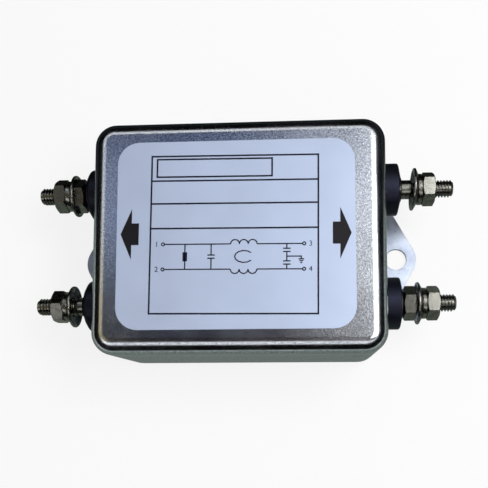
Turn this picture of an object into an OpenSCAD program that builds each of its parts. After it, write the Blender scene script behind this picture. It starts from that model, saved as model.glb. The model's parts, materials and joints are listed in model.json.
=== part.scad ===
// EMI power line filter. A drawn steel can stands on a base plate with two ears. Four stud
// terminals leave its ends through moulded bushings, and a small filter circuit lies inside.
// +X points to the load side, +Y to the far side and +Z out of the label. The origin is the
// centre of the underside, and every size is in millimetres.

/* [Case] */
// Length of the can, end wall to end wall
case_l = 64.8; // [64:0.2:90]
// Width of the can
case_w = 52; // [51:0.5:80]
// Height from the underside of the base plate to the top of the can
case_h = 30; // [26:0.5:45]
// Thickness of the drawn steel
case_wall = 0.8; // [0.5:0.1:1.2]
// Radius of the can's upright corners
case_corner_r = 5; // [4.5:0.5:6]
// Radius of the edge round the can's top
case_edge_r = 3.5; // [2:0.5:4]

/* [Base plate] */
// Thickness of the base plate and its ears
base_t = 1; // [0.8:0.1:1.5]
// How far an ear stands out from the can's end wall
ear_out = 10.1; // [9:0.1:14]
// Distance along the end wall from the can's side to an ear's root
ear_root_inset = 6.35; // [5:0.05:14]
// Radius of an ear's round tip
ear_tip_r = 5.5; // [4.5:0.1:7]
// Distance from an ear's tip to the centre of its hole
ear_hole_inset = 5; // [4:0.1:6]
// Diameter of the hole in an ear
ear_hole_d = 5.3; // [3:0.1:6]
// Height of the rim that locates the can
rim_h = 3; // [1:0.5:5]
// Thickness of that rim
rim_t = 0.8; // [0.5:0.1:1.2]

/* [Label] */
// Distance from the can's end wall to the label, with the label in the middle
label_end_gap = 6.5; // [4:0.1:16]
// Distance from the can's side wall to the label, with the label in the middle
label_side_gap = 5.25; // [4:0.05:16]
// Thickness of the label
label_t = 0.2; // [0.1:0.05:0.4]
// Radius of the label's corners
label_corner_r = 4.8; // [1:0.1:6]
// How far the label sits from the middle towards the line side
label_off_line = 0.4; // [0:0.1:1]
// How far the label sits from the middle towards the near side
label_off_near = 0.1; // [0:0.1:1]

/* [Bushings] */
// Distance from the can's side wall to a stud's axis
stud_inset = 12.5; // [9:0.1:14]
// Height of the stud axes above the underside
stud_z = 15.5; // [14:0.5:18]
// Diameter of a bushing
bush_d = 12.1; // [10:0.1:13]
// How far a bushing's cylinder stands out of the wall
bush_out = 3.7; // [2:0.1:6]
// Radius of the bushing's outer edge
bush_edge_r = 0.5; // [0.2:0.1:1]
// How far the nose of a line bushing rises above its cylinder
nose_line = 1.7; // [0.4:0.1:2.4]
// How far the nose of a load bushing rises above its cylinder
nose_load = 0.9; // [0.4:0.1:2.4]
// Diameter of the bushing's nose
nose_d = 5.6; // [5.2:0.1:7]
// Diameter of the spigot that passes the wall
spigot_d = 7.2; // [6:0.1:8]

/* [Studs] */
// How far a stud's tip stands out from the can's end wall
stud_out = 16.6; // [15:0.1:22]
// Outside diameter of the stud's thread
thread_d = 4; // [3:0.1:4.2]
// How much larger in radius the plain shank is than the thread
shank_step = 0.2; // [0.1:0.05:0.4]
// How far the plain shank reaches out from the can's end wall
shank_out = 7.2; // [5:0.1:7.2]
// How much slimmer in radius the thread is drawn under its nut, which hides it
covered_relief = 0.2; // [0.16:0.01:0.3]
// Length of the chamfer at the stud's tip
tip_chamfer = 0.5; // [0.2:0.1:0.8]
// Width across flats of the stud's head
head_af = 7; // [5.5:0.1:8]
// Thickness of the stud's head
head_t = 1.6; // [1:0.1:2]

/* [Nuts and washers] */
// Width across flats of a nut
nut_af = 7; // [5.5:0.1:8]
// Thickness of a nut
nut_t = 2.9; // [2:0.1:3.2]
// Depth of the chamfer on a nut's corners
nut_chamfer = 0.4; // [0.2:0.05:0.6]
// How far inside the flats a nut's chamfer starts on its face
nut_face_inset = 0.15; // [0.05:0.05:0.3]
// Diameter of a cup washer
cup_d = 9.8; // [9:0.1:11]
// Diameter of the flat middle of a cup washer
cup_flat_d = 7; // [6:0.1:7.5]
// Thickness of a cup washer
cup_t = 0.5; // [0.3:0.1:0.7]
// How far a cup washer's rim bends towards the can
cup_depth = 0.7; // [0.3:0.1:1]
// Diameter of a spring washer
spring_d = 7.2; // [6:0.1:7.6]
// Thickness of a spring washer
spring_t = 1; // [0.6:0.1:1.2]
// Width of the split in a spring washer
spring_split = 0.6; // [0.3:0.1:1]
// Slant of the split
spring_slant = 20; // [10:5:30]
// Gap under the cup washer of the first line terminal
loose_line_1 = 0.05; // [0.02:0.01:0.5]
// Gap under the cup washer of the second line terminal
loose_line_2 = 2.9; // [0.1:0.1:2.9]
// Gap under the cup washer of the first load terminal
loose_load_1 = 3.3; // [0.1:0.1:3.5]
// Gap under the cup washer of the second load terminal
loose_load_2 = 0.8; // [0.1:0.1:1]

/* [Inner hardware] */
// Diameter of the insulating ring inside the wall
ring_d = 11.2; // [10:0.1:12]
// Thickness of the insulating ring
ring_t = 1.4; // [1:0.1:2]
// Diameter of the solder lug's eye
lug_d = 7.6; // [6.5:0.1:9]
// Thickness of a solder lug
lug_t = 0.6; // [0.4:0.1:0.8]
// Width of the solder lug's tail
lug_tail_w = 3.4; // [2.5:0.1:4]
// Height of the tail's end above the tray's side
lug_above_tray = 0.9; // [0.3:0.1:1.5]
// Distance from the tail's end to its wire hole
lug_hole_inset = 1.4; // [1.2:0.1:1.8]
// Diameter of the wires from the lugs to the board
lead_d = 1.4; // [0.8:0.1:1.6]
// Radius of the bend in those wires, at the middle of the wire
lead_bend_r = 1.5; // [1:0.1:2]
// How far a wire or a leg passes under the board
lead_tail = 0.6; // [0.3:0.1:0.8]
// Distance from the board's end to a wire's hole
lead_inset = 1.8; // [1.5:0.1:3]

/* [Board and tray] */
// Thickness of the insulating tray's floor
tray_t = 0.8; // [0.5:0.1:1.2]
// Thickness of the tray's side
tray_side_t = 0.8; // [0.5:0.1:1]
// Height of the tray's side above its floor
tray_side_h = 4.4; // [3:0.1:4.8]
// Height of the posts that hold the board
post_h = 2.4; // [2:0.1:3]
// Diameter of a post
post_d = 4; // [3:0.1:4.5]
// Diameter of the pin on a post
pin_d = 2; // [1.5:0.1:2.4]
// How far a pin stands above the board
pin_above = 0.8; // [0.4:0.1:1.5]
// Distance from the board's edges to a post's axis
post_inset = 3.6; // [3:0.1:4.2]
// Gap between the can's end wall and the board's end
board_end_gap = 5.4; // [5:0.1:6]
// Gap between the can's side wall and the board's side
board_side_gap = 4; // [3.5:0.1:5]
// Thickness of the circuit board
board_t = 1.6; // [1:0.1:2]
// Radius of the board's corners
board_corner_r = 1; // [0.5:0.1:2]

/* [Choke] */
// Room between the windings and the parts beside them
choke_room = 2.425; // [0.5:0.005:4]
// Inside diameter of the ring core, as a share of its outside diameter
core_bore_share = 0.56; // [0.5:0.01:0.62]
// Height of the ring core
core_h = 9; // [6:0.5:10]
// Radius of the core's edges
core_edge_r = 1; // [0.5:0.1:1.5]
// Diameter of the winding wire
wire_d = 1.2; // [0.8:0.1:1.4]
// Diameter of a winding's legs
winding_leg_d = 1; // [0.6:0.1:1.2]
// Number of turns in each winding
turns = 8; // [5:1:9]
// Angle of the core that a winding covers
wound_angle = 130; // [100:5:140]
// Thickness of the insulation that the turns lie in
sleeve_t = 0.5; // [0.3:0.1:0.6]
// How far the edge of the choke's foot lies inside the core's
foot_inset = 2; // [1:0.5:4]
// Thickness of the foot
foot_t = 1; // [0.8:0.1:1.5]
// Thickness of the wall between the windings
divider_t = 1.5; // [1:0.1:2]

/* [Capacitors and resistor] */
// Gap between the film capacitor's end and the resistor beside it
film_gap = 4.2; // [3:0.1:6]
// Width of the film capacitor
film_w = 8.5; // [6:0.5:9]
// Height of the film capacitor
film_h = 14.5; // [10:0.5:15]
// Radius of the film capacitor's upright edges
film_edge_r = 0.8; // [0.3:0.1:1.5]
// Distance from the board's line end to the film capacitor's axis
film_inset = 8.2; // [7.5:0.1:9]
// Distance from the film capacitor's end to its leg
film_leg_inset = 1.5; // [1:0.1:3]
// Diameter of a disc capacitor
disc_d = 9; // [7:0.5:10]
// Thickness of a disc capacitor
disc_t = 4.2; // [3:0.1:5]
// How far a disc capacitor stands above the board
disc_lift = 1; // [0.5:0.1:2]
// Distance from the board's load end to the discs' axis
disc_inset = 7; // [6.5:0.1:8]
// Distance between the two discs' axes
disc_spacing = 17; // [16.5:0.5:20]
// Distance between a disc's legs
disc_pitch = 6; // [5:0.5:7]
// Diameter of the legs of the small parts
leg_d = 0.8; // [0.5:0.1:1]
// Length of the resistor's body
resistor_l = 9; // [6:0.5:10]
// Diameter of the resistor's body
resistor_d = 3.2; // [2:0.1:3.6]
// Diameter of the resistor's end caps
cap_d = 3.6; // [2.4:0.1:4]
// Length of one end cap
cap_l = 1.6; // [1:0.1:2]
// Distance between the resistor's legs
resistor_pitch = 13; // [12:0.5:14]
// Distance from the board's line end to the resistor's middle
resistor_end_inset = 10.2; // [9:0.1:11]
// Distance from the board's side to the resistor's axis
resistor_side_inset = 7; // [6:0.1:8]
// Radius of the bends in the resistor's legs
leg_bend_r = 1; // [0.8:0.1:1.4]

/* [Earth tab] */
// Width of the earth tab
tab_w = 5; // [3:0.5:6]
// Thickness of the earth tab
tab_t = 0.5; // [0.3:0.1:0.8]
// Length of the tab's foot on the base plate
tab_foot_l = 5; // [3:0.5:6]
// How far the tab stands above the board
tab_above = 1.5; // [0.5:0.1:3]

/* [Fits] */
// Clearance in radius between a thread and its nut
nut_fit = 0.05; // [0.02:0.01:0.1]
// Clearance in radius between a washer and the stud
washer_fit = 0.1; // [0.05:0.01:0.15]
// Clearance in radius between a stud and its bushing or lug
stud_fit = 0.05; // [0.02:0.01:0.1]
// Clearance between the rim and the can, and round spigots, tray and foot
seat_fit = 0.1; // [0.05:0.01:0.15]
// Clearance in radius round a wire, a leg or a pin in its hole
hole_fit = 0.1; // [0.05:0.01:0.2]
// Gap between a spring washer and its nut
nut_gap = 0.02; // [0.01:0.01:0.05]
// Distance from a nut to the free end of its stud
free_gap = 0.1; // [0.05:0.05:0.3]

/* [Hidden] */
$fn = 48;

// The four terminals: the end that each is on, its row, and whether a clamp nut holds it
TERMINALS = ["line_1", "line_2", "load_1", "load_2"];
SIDE = [-1, -1, 1, 1];
ROW = [1, -1, 1, -1];
CLAMPED = [true, false, false, true];
LOOSE = [loose_line_1, loose_line_2, loose_load_1, loose_load_2];
// How each nut happens to be turned: a flat or a corner towards the label side
NUT_TURN = [23, 4, 33, 32];
CLAMP_TURN = [12, 0, 0, 40];

// One overrun serves every cut
over = 0.5;
// Steps in a quarter of a turned profile's rounding
arc_steps = 6;

// Terminal stack, measured outwards from the can's end wall
function nose(i) = SIDE[i] < 0 ? nose_line : nose_load;
function seat_out(i) = bush_out + nose(i) + (CLAMPED[i] ? nut_t : 0);
function cup_out(i) = seat_out(i) + LOOSE[i];
function spring_out(i) = cup_out(i) + cup_t;
function nut_out(i) = spring_out(i) + spring_t + nut_gap;
function free_out(i) = nut_out(i) + nut_t + free_gap;
// and inwards from the same wall
spigot_in = case_wall + ring_t;
lug_in = spigot_in + lug_t;

// Radii
thread_r = thread_d / 2;
shank_r = thread_r + shank_step;
bush_bore_r = shank_r + stud_fit;
nose_r = nose_d / 2;
hole_in_wall_r = spigot_d / 2 + seat_fit;
leg_r = leg_d / 2;
lead_r = lead_d / 2;

// Terminals and label
stud_spacing = case_w - 2 * stud_inset;
label_l = case_l - 2 * label_end_gap;
label_w = case_w - 2 * label_side_gap;

// Base plate
ear_tip_x = case_l / 2 + ear_out;
ear_centre_x = ear_tip_x - ear_tip_r;
ear_hole_x = ear_tip_x - ear_hole_inset;
rim_l = case_l - 2 * case_wall - 2 * seat_fit;
rim_w = case_w - 2 * case_wall - 2 * seat_fit;
rim_r = case_corner_r - case_wall - seat_fit;

// Tray and board
tray_l = rim_l - 2 * rim_t - 2 * seat_fit;
tray_w = rim_w - 2 * rim_t - 2 * seat_fit;
tray_r = rim_r - rim_t - seat_fit;
board_l = case_l - 2 * board_end_gap;
board_w = case_w - 2 * board_side_gap;
board_z = base_t + tray_t + post_h;
board_top = board_z + board_t;
post_x = board_l / 2 - post_inset;
post_y = board_w / 2 - post_inset;
leg_end_z = board_z - lead_tail;

// Lug tails and the wires from them
lug_end_z = base_t + tray_t + tray_side_h + lug_above_tray;
lug_tail_l = stud_z - lug_end_z;
lead_z = lug_end_z + lug_hole_inset;
lead_x = board_l / 2 - lead_inset;
lead_start_x = case_l / 2 - spigot_in - seat_fit;

// Small parts on the board
film_x = -board_l / 2 + film_inset;
disc_x = board_l / 2 - disc_inset;
disc_z = board_top + disc_lift + disc_d / 2;
resistor_x = -board_l / 2 + resistor_end_inset;
resistor_y = board_w / 2 - resistor_side_inset;
resistor_z = board_top + cap_d / 2;
film_l = 2 * (resistor_y - cap_d / 2 - film_gap);
film_pitch = film_l - 2 * film_leg_inset;
tab_x = disc_x;
tab_top = board_top + tab_above;

// Choke, midway between the film capacitor and the discs
choke_from_x = film_x + film_w / 2 + choke_room;
choke_to_x = disc_x - disc_t / 2 - choke_room;
choke_x = (choke_from_x + choke_to_x) / 2;
core_d = choke_to_x - choke_from_x - 2 * wire_d - 2 * seat_fit;
core_bore_d = core_bore_share * core_d;
foot_d = core_d - 2 * foot_inset;
foot_z = board_top;
core_z = foot_z + foot_t + wire_d + seat_fit;
core_mid_r = (core_d + core_bore_d) / 4;
core_sec_w = (core_d - core_bore_d) / 2;
turn_step = wound_angle / turns;
turn_angle = 180 * wire_d / (PI * core_mid_r);
winding_leg_r = core_d / 2 + seat_fit + wire_d / 2;

// Flat shapes
module round_rect(l, w, r) {
    square([l - 2 * r, w], center = true);
    square([l, w - 2 * r], center = true);
    for (x = [-1, 1], y = [-1, 1])
        translate([x * (l / 2 - r), y * (w / 2 - r)]) circle(r);
}

module quarter_disc(r) {
    intersection() {
        circle(r);
        square(r);
    }
}

function arc(cx, cy, r, from, to) =
    [for (k = [0 : arc_steps]) let (a = from + (to - from) * k / arc_steps)
        [cx + r * cos(a), cy + r * sin(a)]];

// A box with round upright corners and a rounded upper edge, standing on z = 0
module can_body(l, w, h, corner_r, edge_r) {
    translate([-l / 2 + corner_r, 0, 0]) rotate([90, 0, 90])
        linear_extrude(l - 2 * corner_r) edge_profile(w, h, edge_r);
    translate([0, w / 2 - corner_r, 0]) rotate([90, 0, 0])
        linear_extrude(w - 2 * corner_r) edge_profile(l, h, edge_r);
    for (x = [-1, 1], y = [-1, 1])
        translate([x * (l / 2 - corner_r), y * (w / 2 - corner_r), 0])
            rotate_extrude() corner_profile(corner_r, h, edge_r);
}

module edge_profile(w, h, edge_r) {
    translate([-w / 2, 0]) square([w, h - edge_r]);
    translate([-w / 2 + edge_r, 0]) square([w - 2 * edge_r, h]);
    for (s = [-1, 1])
        translate([s * (w / 2 - edge_r), h - edge_r]) circle(edge_r);
}

module corner_profile(r, h, edge_r) {
    square([r, h - edge_r]);
    square([r - edge_r, h]);
    translate([r - edge_r, h - edge_r]) quarter_disc(edge_r);
}

// Puts its children at a terminal, with z = 0 on the end wall and +Z outwards
module at_terminal(i) {
    translate([SIDE[i] * case_l / 2, ROW[i] * stud_spacing / 2, stud_z])
        rotate([0, SIDE[i] * 90, 0]) children();
}

// Case
module case_shell() {
    color("silver")
    difference() {
        translate([0, 0, base_t])
            can_body(case_l, case_w, case_h - base_t, case_corner_r, case_edge_r);
        translate([0, 0, base_t - over])
            can_body(case_l - 2 * case_wall, case_w - 2 * case_wall,
                     case_h - base_t - case_wall + over,
                     case_corner_r - case_wall, case_edge_r - case_wall);
        for (i = [0 : 3])
            at_terminal(i) translate([0, 0, -case_wall - over])
                cylinder(r = hole_in_wall_r, h = case_wall + 2 * over);
    }
}

// The flanks of an ear run from its root to touch the round tip
module ear_outline() {
    run_x = ear_centre_x - case_l / 2;
    root_y = case_w / 2 - ear_root_inset;
    flank = 90 - atan2(root_y, run_x) + asin(ear_tip_r / norm([run_x, root_y]));
    touch = [ear_centre_x + ear_tip_r * cos(flank), ear_tip_r * sin(flank)];
    polygon([
        [case_l / 2 - case_wall, root_y], [case_l / 2, root_y], touch,
        [touch[0], -touch[1]], [case_l / 2, -root_y], [case_l / 2 - case_wall, -root_y]]);
    translate([ear_centre_x, 0]) circle(ear_tip_r);
}

module base_plate() {
    color("lightgray")
    difference() {
        union() {
            linear_extrude(base_t) {
                round_rect(case_l, case_w, case_corner_r);
                for (turn = [0, 180]) rotate(turn) ear_outline();
            }
            linear_extrude(base_t + rim_h) difference() {
                round_rect(rim_l, rim_w, rim_r);
                round_rect(rim_l - 2 * rim_t, rim_w - 2 * rim_t, rim_r - rim_t);
            }
        }
        for (s = [-1, 1])
            translate([s * ear_hole_x, 0, -over])
                cylinder(d = ear_hole_d, h = base_t + 2 * over);
    }
}

module rating_label() {
    color("lightsteelblue")
    translate([-label_off_line, -label_off_near, case_h])
        linear_extrude(label_t) round_rect(label_l, label_w, label_corner_r);
}

// Terminals
module bushing(i) {
    r = bush_d / 2;
    top = bush_out + nose(i);
    hollow_r = nose(i);
    color("black")
    at_terminal(i) rotate_extrude() polygon(concat(
        [[bush_bore_r, -spigot_in], [spigot_d / 2, -spigot_in], [spigot_d / 2, 0], [r, 0]],
        arc(r - bush_edge_r, bush_out - bush_edge_r, bush_edge_r, 0, 90),
        arc(nose_r + hollow_r, top, hollow_r, 270, 180),
        [[bush_bore_r, top]]));
}

module stud(i) {
    color("gainsboro")
    at_terminal(i) {
        translate([0, 0, -lug_in - head_t])
            linear_extrude(head_t) circle(d = head_af / cos(30), $fn = 6);
        translate([0, 0, -lug_in - head_t / 2])
            cylinder(r = shank_r, h = lug_in + head_t / 2 + shank_out);
        cylinder(r = thread_r, h = nut_out(i));
        cylinder(r = thread_r - covered_relief, h = stud_out - tip_chamfer);
        translate([0, 0, free_out(i)])
            cylinder(r = thread_r, h = stud_out - tip_chamfer - free_out(i));
        translate([0, 0, stud_out - tip_chamfer])
            cylinder(r1 = thread_r, r2 = thread_r - tip_chamfer, h = tip_chamfer);
    }
}

// A hexagon nut with both ends' corners turned off, standing on z = 0. The cones that turn
// them off run a little past the corners.
module hex_nut(turn) {
    corner_r = nut_af / 2 / cos(30);
    face_r = nut_af / 2 - nut_face_inset;
    cone_r = corner_r + nut_chamfer / 2;
    cone_h = nut_chamfer * (cone_r - face_r) / (corner_r - face_r);
    difference() {
        intersection() {
            rotate(turn) linear_extrude(nut_t) circle(corner_r, $fn = 6);
            rotate_extrude() polygon([
                [0, 0], [face_r, 0], [cone_r, cone_h],
                [cone_r, nut_t - cone_h], [face_r, nut_t], [0, nut_t]]);
        }
        translate([0, 0, -over]) cylinder(r = thread_r + nut_fit, h = nut_t + 2 * over);
    }
}

module outer_nut(i) {
    color("gainsboro")
    at_terminal(i) translate([0, 0, nut_out(i)]) hex_nut(NUT_TURN[i]);
}

module clamp_nuts() {
    color("gray")
    for (i = [0 : 3])
        if (CLAMPED[i])
            at_terminal(i) translate([0, 0, bush_out + nose(i)]) difference() {
                hex_nut(CLAMP_TURN[i]);
                translate([0, 0, -over]) cylinder(r = shank_r + nut_fit, h = nut_t + 2 * over);
            }
}

module cup_washer(i) {
    bore_r = shank_r + washer_fit;
    color("darkgray")
    at_terminal(i) translate([0, 0, cup_out(i)]) rotate_extrude() polygon([
        [bore_r, 0], [cup_flat_d / 2, 0], [cup_d / 2 - cup_t, -cup_depth],
        [cup_d / 2, -cup_depth], [cup_d / 2, -cup_depth + cup_t],
        [cup_flat_d / 2, cup_t], [bore_r, cup_t]]);
}

module spring_washer(i) {
    bore_r = shank_r + washer_fit;
    color("silver")
    at_terminal(i) translate([0, 0, spring_out(i)]) difference() {
        cylinder(d = spring_d, h = spring_t);
        translate([0, 0, -over]) cylinder(r = bore_r, h = spring_t + 2 * over);
        translate([0, spring_d / 4 + over, spring_t / 2]) rotate([0, spring_slant, 0])
            cube([spring_split, spring_d / 2 + 2 * over, 3 * spring_t], center = true);
    }
}

module inner_ring(i) {
    color("ivory")
    at_terminal(i) translate([0, 0, -spigot_in]) difference() {
        cylinder(d = ring_d, h = ring_t);
        translate([0, 0, -over]) cylinder(r = hole_in_wall_r, h = ring_t + 2 * over);
    }
}

module solder_lug(i) {
    color("goldenrod")
    at_terminal(i) translate([0, 0, -lug_in]) mirror([SIDE[i] < 0 ? 1 : 0, 0, 0])
        linear_extrude(lug_t) difference() {
            union() {
                circle(d = lug_d);
                translate([0, -lug_tail_w / 2]) square([lug_tail_l, lug_tail_w]);
            }
            circle(bush_bore_r);
            translate([lug_tail_l - lug_hole_inset, 0]) circle(lead_r + hole_fit);
        }
}

// A wire that comes in along +X at height z and bends down through the board at x
module bent_wire(x, z, start_x, end_z, r, bend_r) {
    translate([x + bend_r, 0, z]) rotate([0, 90, 0]) cylinder(r = r, h = start_x - x - bend_r);
    translate([x + bend_r, 0, z - bend_r]) rotate([90, 0, 0]) rotate([0, 0, 90])
        rotate_extrude(angle = 90) translate([bend_r, 0]) circle(r);
    translate([x, 0, end_z]) cylinder(r = r, h = z - bend_r - end_z);
}

module lead(i) {
    color("orange")
    translate([0, ROW[i] * stud_spacing / 2, 0]) rotate([0, 0, SIDE[i] < 0 ? 180 : 0])
        bent_wire(lead_x, lead_z, lead_start_x, leg_end_z, lead_r, lead_bend_r);
}

// Board and tray
module board_tray() {
    color("whitesmoke")
    difference() {
        translate([0, 0, base_t]) union() {
            linear_extrude(tray_t) round_rect(tray_l, tray_w, tray_r);
            linear_extrude(tray_t + tray_side_h) difference() {
                round_rect(tray_l, tray_w, tray_r);
                round_rect(tray_l - 2 * tray_side_t, tray_w - 2 * tray_side_t,
                           tray_r - tray_side_t);
            }
            for (x = [-1, 1], y = [-1, 1])
                translate([x * post_x, y * post_y, 0]) {
                    cylinder(d = post_d, h = tray_t + post_h);
                    cylinder(d = pin_d, h = tray_t + post_h + board_t + pin_above);
                }
        }
        translate([tab_x - tab_foot_l + tab_t / 2 - seat_fit, -tab_w / 2 - seat_fit, base_t - over])
            cube([tab_foot_l + 2 * seat_fit, tab_w + 2 * seat_fit, tray_t + 2 * over]);
    }
}

module board_hole(x, y, r) {
    translate([x, y]) circle(r + hole_fit);
}

module circuit_board() {
    color("darkgreen")
    translate([0, 0, board_z]) linear_extrude(board_t) difference() {
        round_rect(board_l, board_w, board_corner_r);
        for (x = [-1, 1], y = [-1, 1]) {
            board_hole(x * post_x, y * post_y, pin_d / 2);
            board_hole(x * lead_x, y * stud_spacing / 2, lead_r);
        }
        for (s = [-1, 1]) {
            board_hole(film_x, s * film_pitch / 2, leg_r);
            board_hole(resistor_x + s * resistor_pitch / 2, resistor_y, leg_r);
            for (t = [-1, 1]) {
                board_hole(disc_x, t * disc_spacing / 2 + s * disc_pitch / 2, leg_r);
                winding_leg(t, s) board_hole(0, 0, winding_leg_d / 2);
            }
        }
        translate([tab_x, 0])
            square([tab_t + 2 * hole_fit, tab_w + 2 * hole_fit], center = true);
    }
}

// Choke
module winding_leg(row, end) {
    angle = row * (90 - end * (wound_angle - turn_step) / 2);
    translate([choke_x + winding_leg_r * cos(angle), winding_leg_r * sin(angle)]) children();
}

module core_section(w, h, edge_r) {
    translate([core_mid_r, 0]) round_rect(w, h, edge_r);
}

module choke_core() {
    color("seagreen")
    translate([choke_x, 0, core_z + core_h / 2])
        rotate_extrude() core_section(core_sec_w, core_h, core_edge_r);
}

module choke_divider() {
    wall_l = core_bore_d - 2 * wire_d - 2 * seat_fit;
    color("white")
    translate([choke_x, 0, foot_z]) {
        cylinder(d = foot_d, h = foot_t);
        translate([-wall_l / 2, -divider_t / 2, 0])
            cube([wall_l, divider_t, foot_t + 2 * wire_d + core_h]);
    }
}

// Half the core's turns: loops of wire in a thin sleeve, with a leg at each end
module winding(row) {
    sleeve_angle = wound_angle - turn_step;
    color("chocolate") {
        translate([choke_x, 0, core_z + core_h / 2]) rotate(90 * row - sleeve_angle / 2) {
            wound_section(0, sleeve_t, sleeve_angle);
            for (k = [0 : turns - 1])
                rotate(k * sleeve_angle / (turns - 1) - turn_angle / 2)
                    wound_section(sleeve_t / 2, wire_d, turn_angle);
        }
        for (end = [-1, 1])
            winding_leg(row, end) translate([0, 0, leg_end_z])
                cylinder(d = winding_leg_d, h = core_z + core_h / 2 - leg_end_z);
    }
}

// A layer round the core's section, from one height above it to another, over an angle
module wound_section(from, to, angle) {
    rotate_extrude(angle = angle) difference() {
        grown_section(to);
        grown_section(from);
    }
}

module grown_section(by) {
    grow = 2 * (seat_fit + by);
    core_section(core_sec_w + grow, core_h + grow, core_edge_r + by);
}

// Capacitors, resistor and earth tab
module film_capacitor() {
    color("gold")
    translate([film_x, 0, 0]) {
        translate([0, 0, board_top]) linear_extrude(film_h) round_rect(film_w, film_l, film_edge_r);
        for (s = [-1, 1])
            translate([0, s * film_pitch / 2, leg_end_z])
                cylinder(r = leg_r, h = board_top - leg_end_z + film_edge_r);
    }
}

module disc_capacitor(row) {
    flat_r = disc_d / 2 - disc_t / 4;
    color("royalblue")
    translate([disc_x, row * disc_spacing / 2, 0]) {
        translate([0, 0, disc_z]) rotate([0, 90, 0]) rotate_extrude() polygon([
            [0, -disc_t / 2], [flat_r, -disc_t / 2], [disc_d / 2, -disc_t / 4],
            [disc_d / 2, disc_t / 4], [flat_r, disc_t / 2], [0, disc_t / 2]]);
        for (s = [-1, 1])
            translate([0, s * disc_pitch / 2, leg_end_z])
                cylinder(r = leg_r, h = disc_z - leg_end_z);
    }
}

module bleeder_resistor() {
    color("tan")
    translate([resistor_x, resistor_y, 0]) {
        translate([0, 0, resistor_z]) rotate([0, 90, 0]) {
            cylinder(d = resistor_d, h = resistor_l, center = true);
            for (s = [-1, 1])
                translate([0, 0, s * (resistor_l - cap_l) / 2])
                    cylinder(d = cap_d, h = cap_l, center = true);
        }
        for (turn = [0, 180])
            rotate([0, 0, turn]) mirror([1, 0, 0])
                bent_wire(-resistor_pitch / 2, resistor_z, -resistor_l / 2 + cap_l, leg_end_z,
                          leg_r, leg_bend_r);
    }
}

module earth_tab() {
    color("darkkhaki")
    translate([tab_x + tab_t / 2, -tab_w / 2, base_t]) {
        translate([-tab_foot_l, 0, 0]) cube([tab_foot_l, tab_w, tab_t]);
        translate([-tab_t, 0, 0]) cube([tab_t, tab_w, tab_top - base_t]);
    }
}

case_shell();
base_plate();
rating_label();
clamp_nuts();
for (i = [0 : 3]) {
    bushing(i);
    stud(i);
    cup_washer(i);
    spring_washer(i);
    outer_nut(i);
    inner_ring(i);
    solder_lug(i);
    lead(i);
}
board_tray();
circuit_board();
choke_core();
choke_divider();
winding(1);  // winding_1
winding(-1);  // winding_2
film_capacitor();
disc_capacitor(1);  // disc_capacitor_1
disc_capacitor(-1);  // disc_capacitor_2
bleeder_resistor();
earth_tab();
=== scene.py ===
"""The looks of an EMI power line filter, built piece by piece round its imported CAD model."""

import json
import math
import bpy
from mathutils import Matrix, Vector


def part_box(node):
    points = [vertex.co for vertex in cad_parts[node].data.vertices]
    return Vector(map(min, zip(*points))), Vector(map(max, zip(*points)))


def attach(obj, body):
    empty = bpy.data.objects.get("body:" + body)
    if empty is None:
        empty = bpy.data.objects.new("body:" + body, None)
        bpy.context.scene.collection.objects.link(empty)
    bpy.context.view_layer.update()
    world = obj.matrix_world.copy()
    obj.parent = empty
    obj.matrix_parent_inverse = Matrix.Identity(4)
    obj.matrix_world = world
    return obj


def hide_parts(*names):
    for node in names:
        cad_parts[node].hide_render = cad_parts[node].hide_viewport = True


bl_info = {
    "name": "Power Line Filter",
    "version": (1, 0, 0),
    "blender": (4, 5, 0),
    "location": "View3D > Sidebar > Filter",
    "description": "Builds a stud-terminal power line filter round its CAD frame",
    "category": "Add Mesh",
}

import bmesh
import bpy
from bpy.props import FloatProperty, FloatVectorProperty, IntProperty, PointerProperty
from mathutils import Matrix, Vector

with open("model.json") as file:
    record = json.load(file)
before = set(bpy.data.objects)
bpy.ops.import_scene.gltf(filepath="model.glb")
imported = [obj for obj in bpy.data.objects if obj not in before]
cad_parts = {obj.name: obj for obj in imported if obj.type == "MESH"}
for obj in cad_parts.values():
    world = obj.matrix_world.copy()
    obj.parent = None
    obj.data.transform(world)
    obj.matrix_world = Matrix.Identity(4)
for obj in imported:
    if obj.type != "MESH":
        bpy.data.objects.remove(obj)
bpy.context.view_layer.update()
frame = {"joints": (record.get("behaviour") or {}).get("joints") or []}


def mm(length):
    """Millimetres in metres."""
    return length / 1000


def linear(colour):
    """An sRGB hex colour as linear red, green and blue."""
    parts = [int(colour[k:k + 2], 16) / 255 for k in (1, 3, 5)]
    return tuple(c / 12.92 if c <= 0.04045 else ((c + 0.055) / 1.055) ** 2.4 for c in parts)


# Bodies of the frame
HOUSING = "filter_body"
WASHERS = "washers_"
NUT = "nut_"

# Corners of the pieces that carry the rest
CASE_LOW, CASE_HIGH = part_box("case_shell")
_, BASE_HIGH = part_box("base_plate")
LABEL_LOW, LABEL_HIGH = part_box("rating_label")
BOARD_LOW, BOARD_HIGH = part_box("circuit_board")
TRAY_LOW, TRAY_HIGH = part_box("board_tray")

# Steps of a full turn on round pieces and on small ones, and of a rounded corner
ROUND = 64
SMALL_ROUND = 24
CORNER = 8

# Points nearer to each other than this are one: in plain shapes, in wires and in threads
WELD = mm(1e-4)
WIRE_WELD = mm(1e-3)
THREAD_WELD = mm(2e-3)

# How near to a height a point counts as on it
ON_IT = mm(0.01)

# Clearances round a stud's shank, and between the pieces inside the can
STUD_FIT = mm(0.05)
INNER_FIT = mm(0.1)


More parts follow.
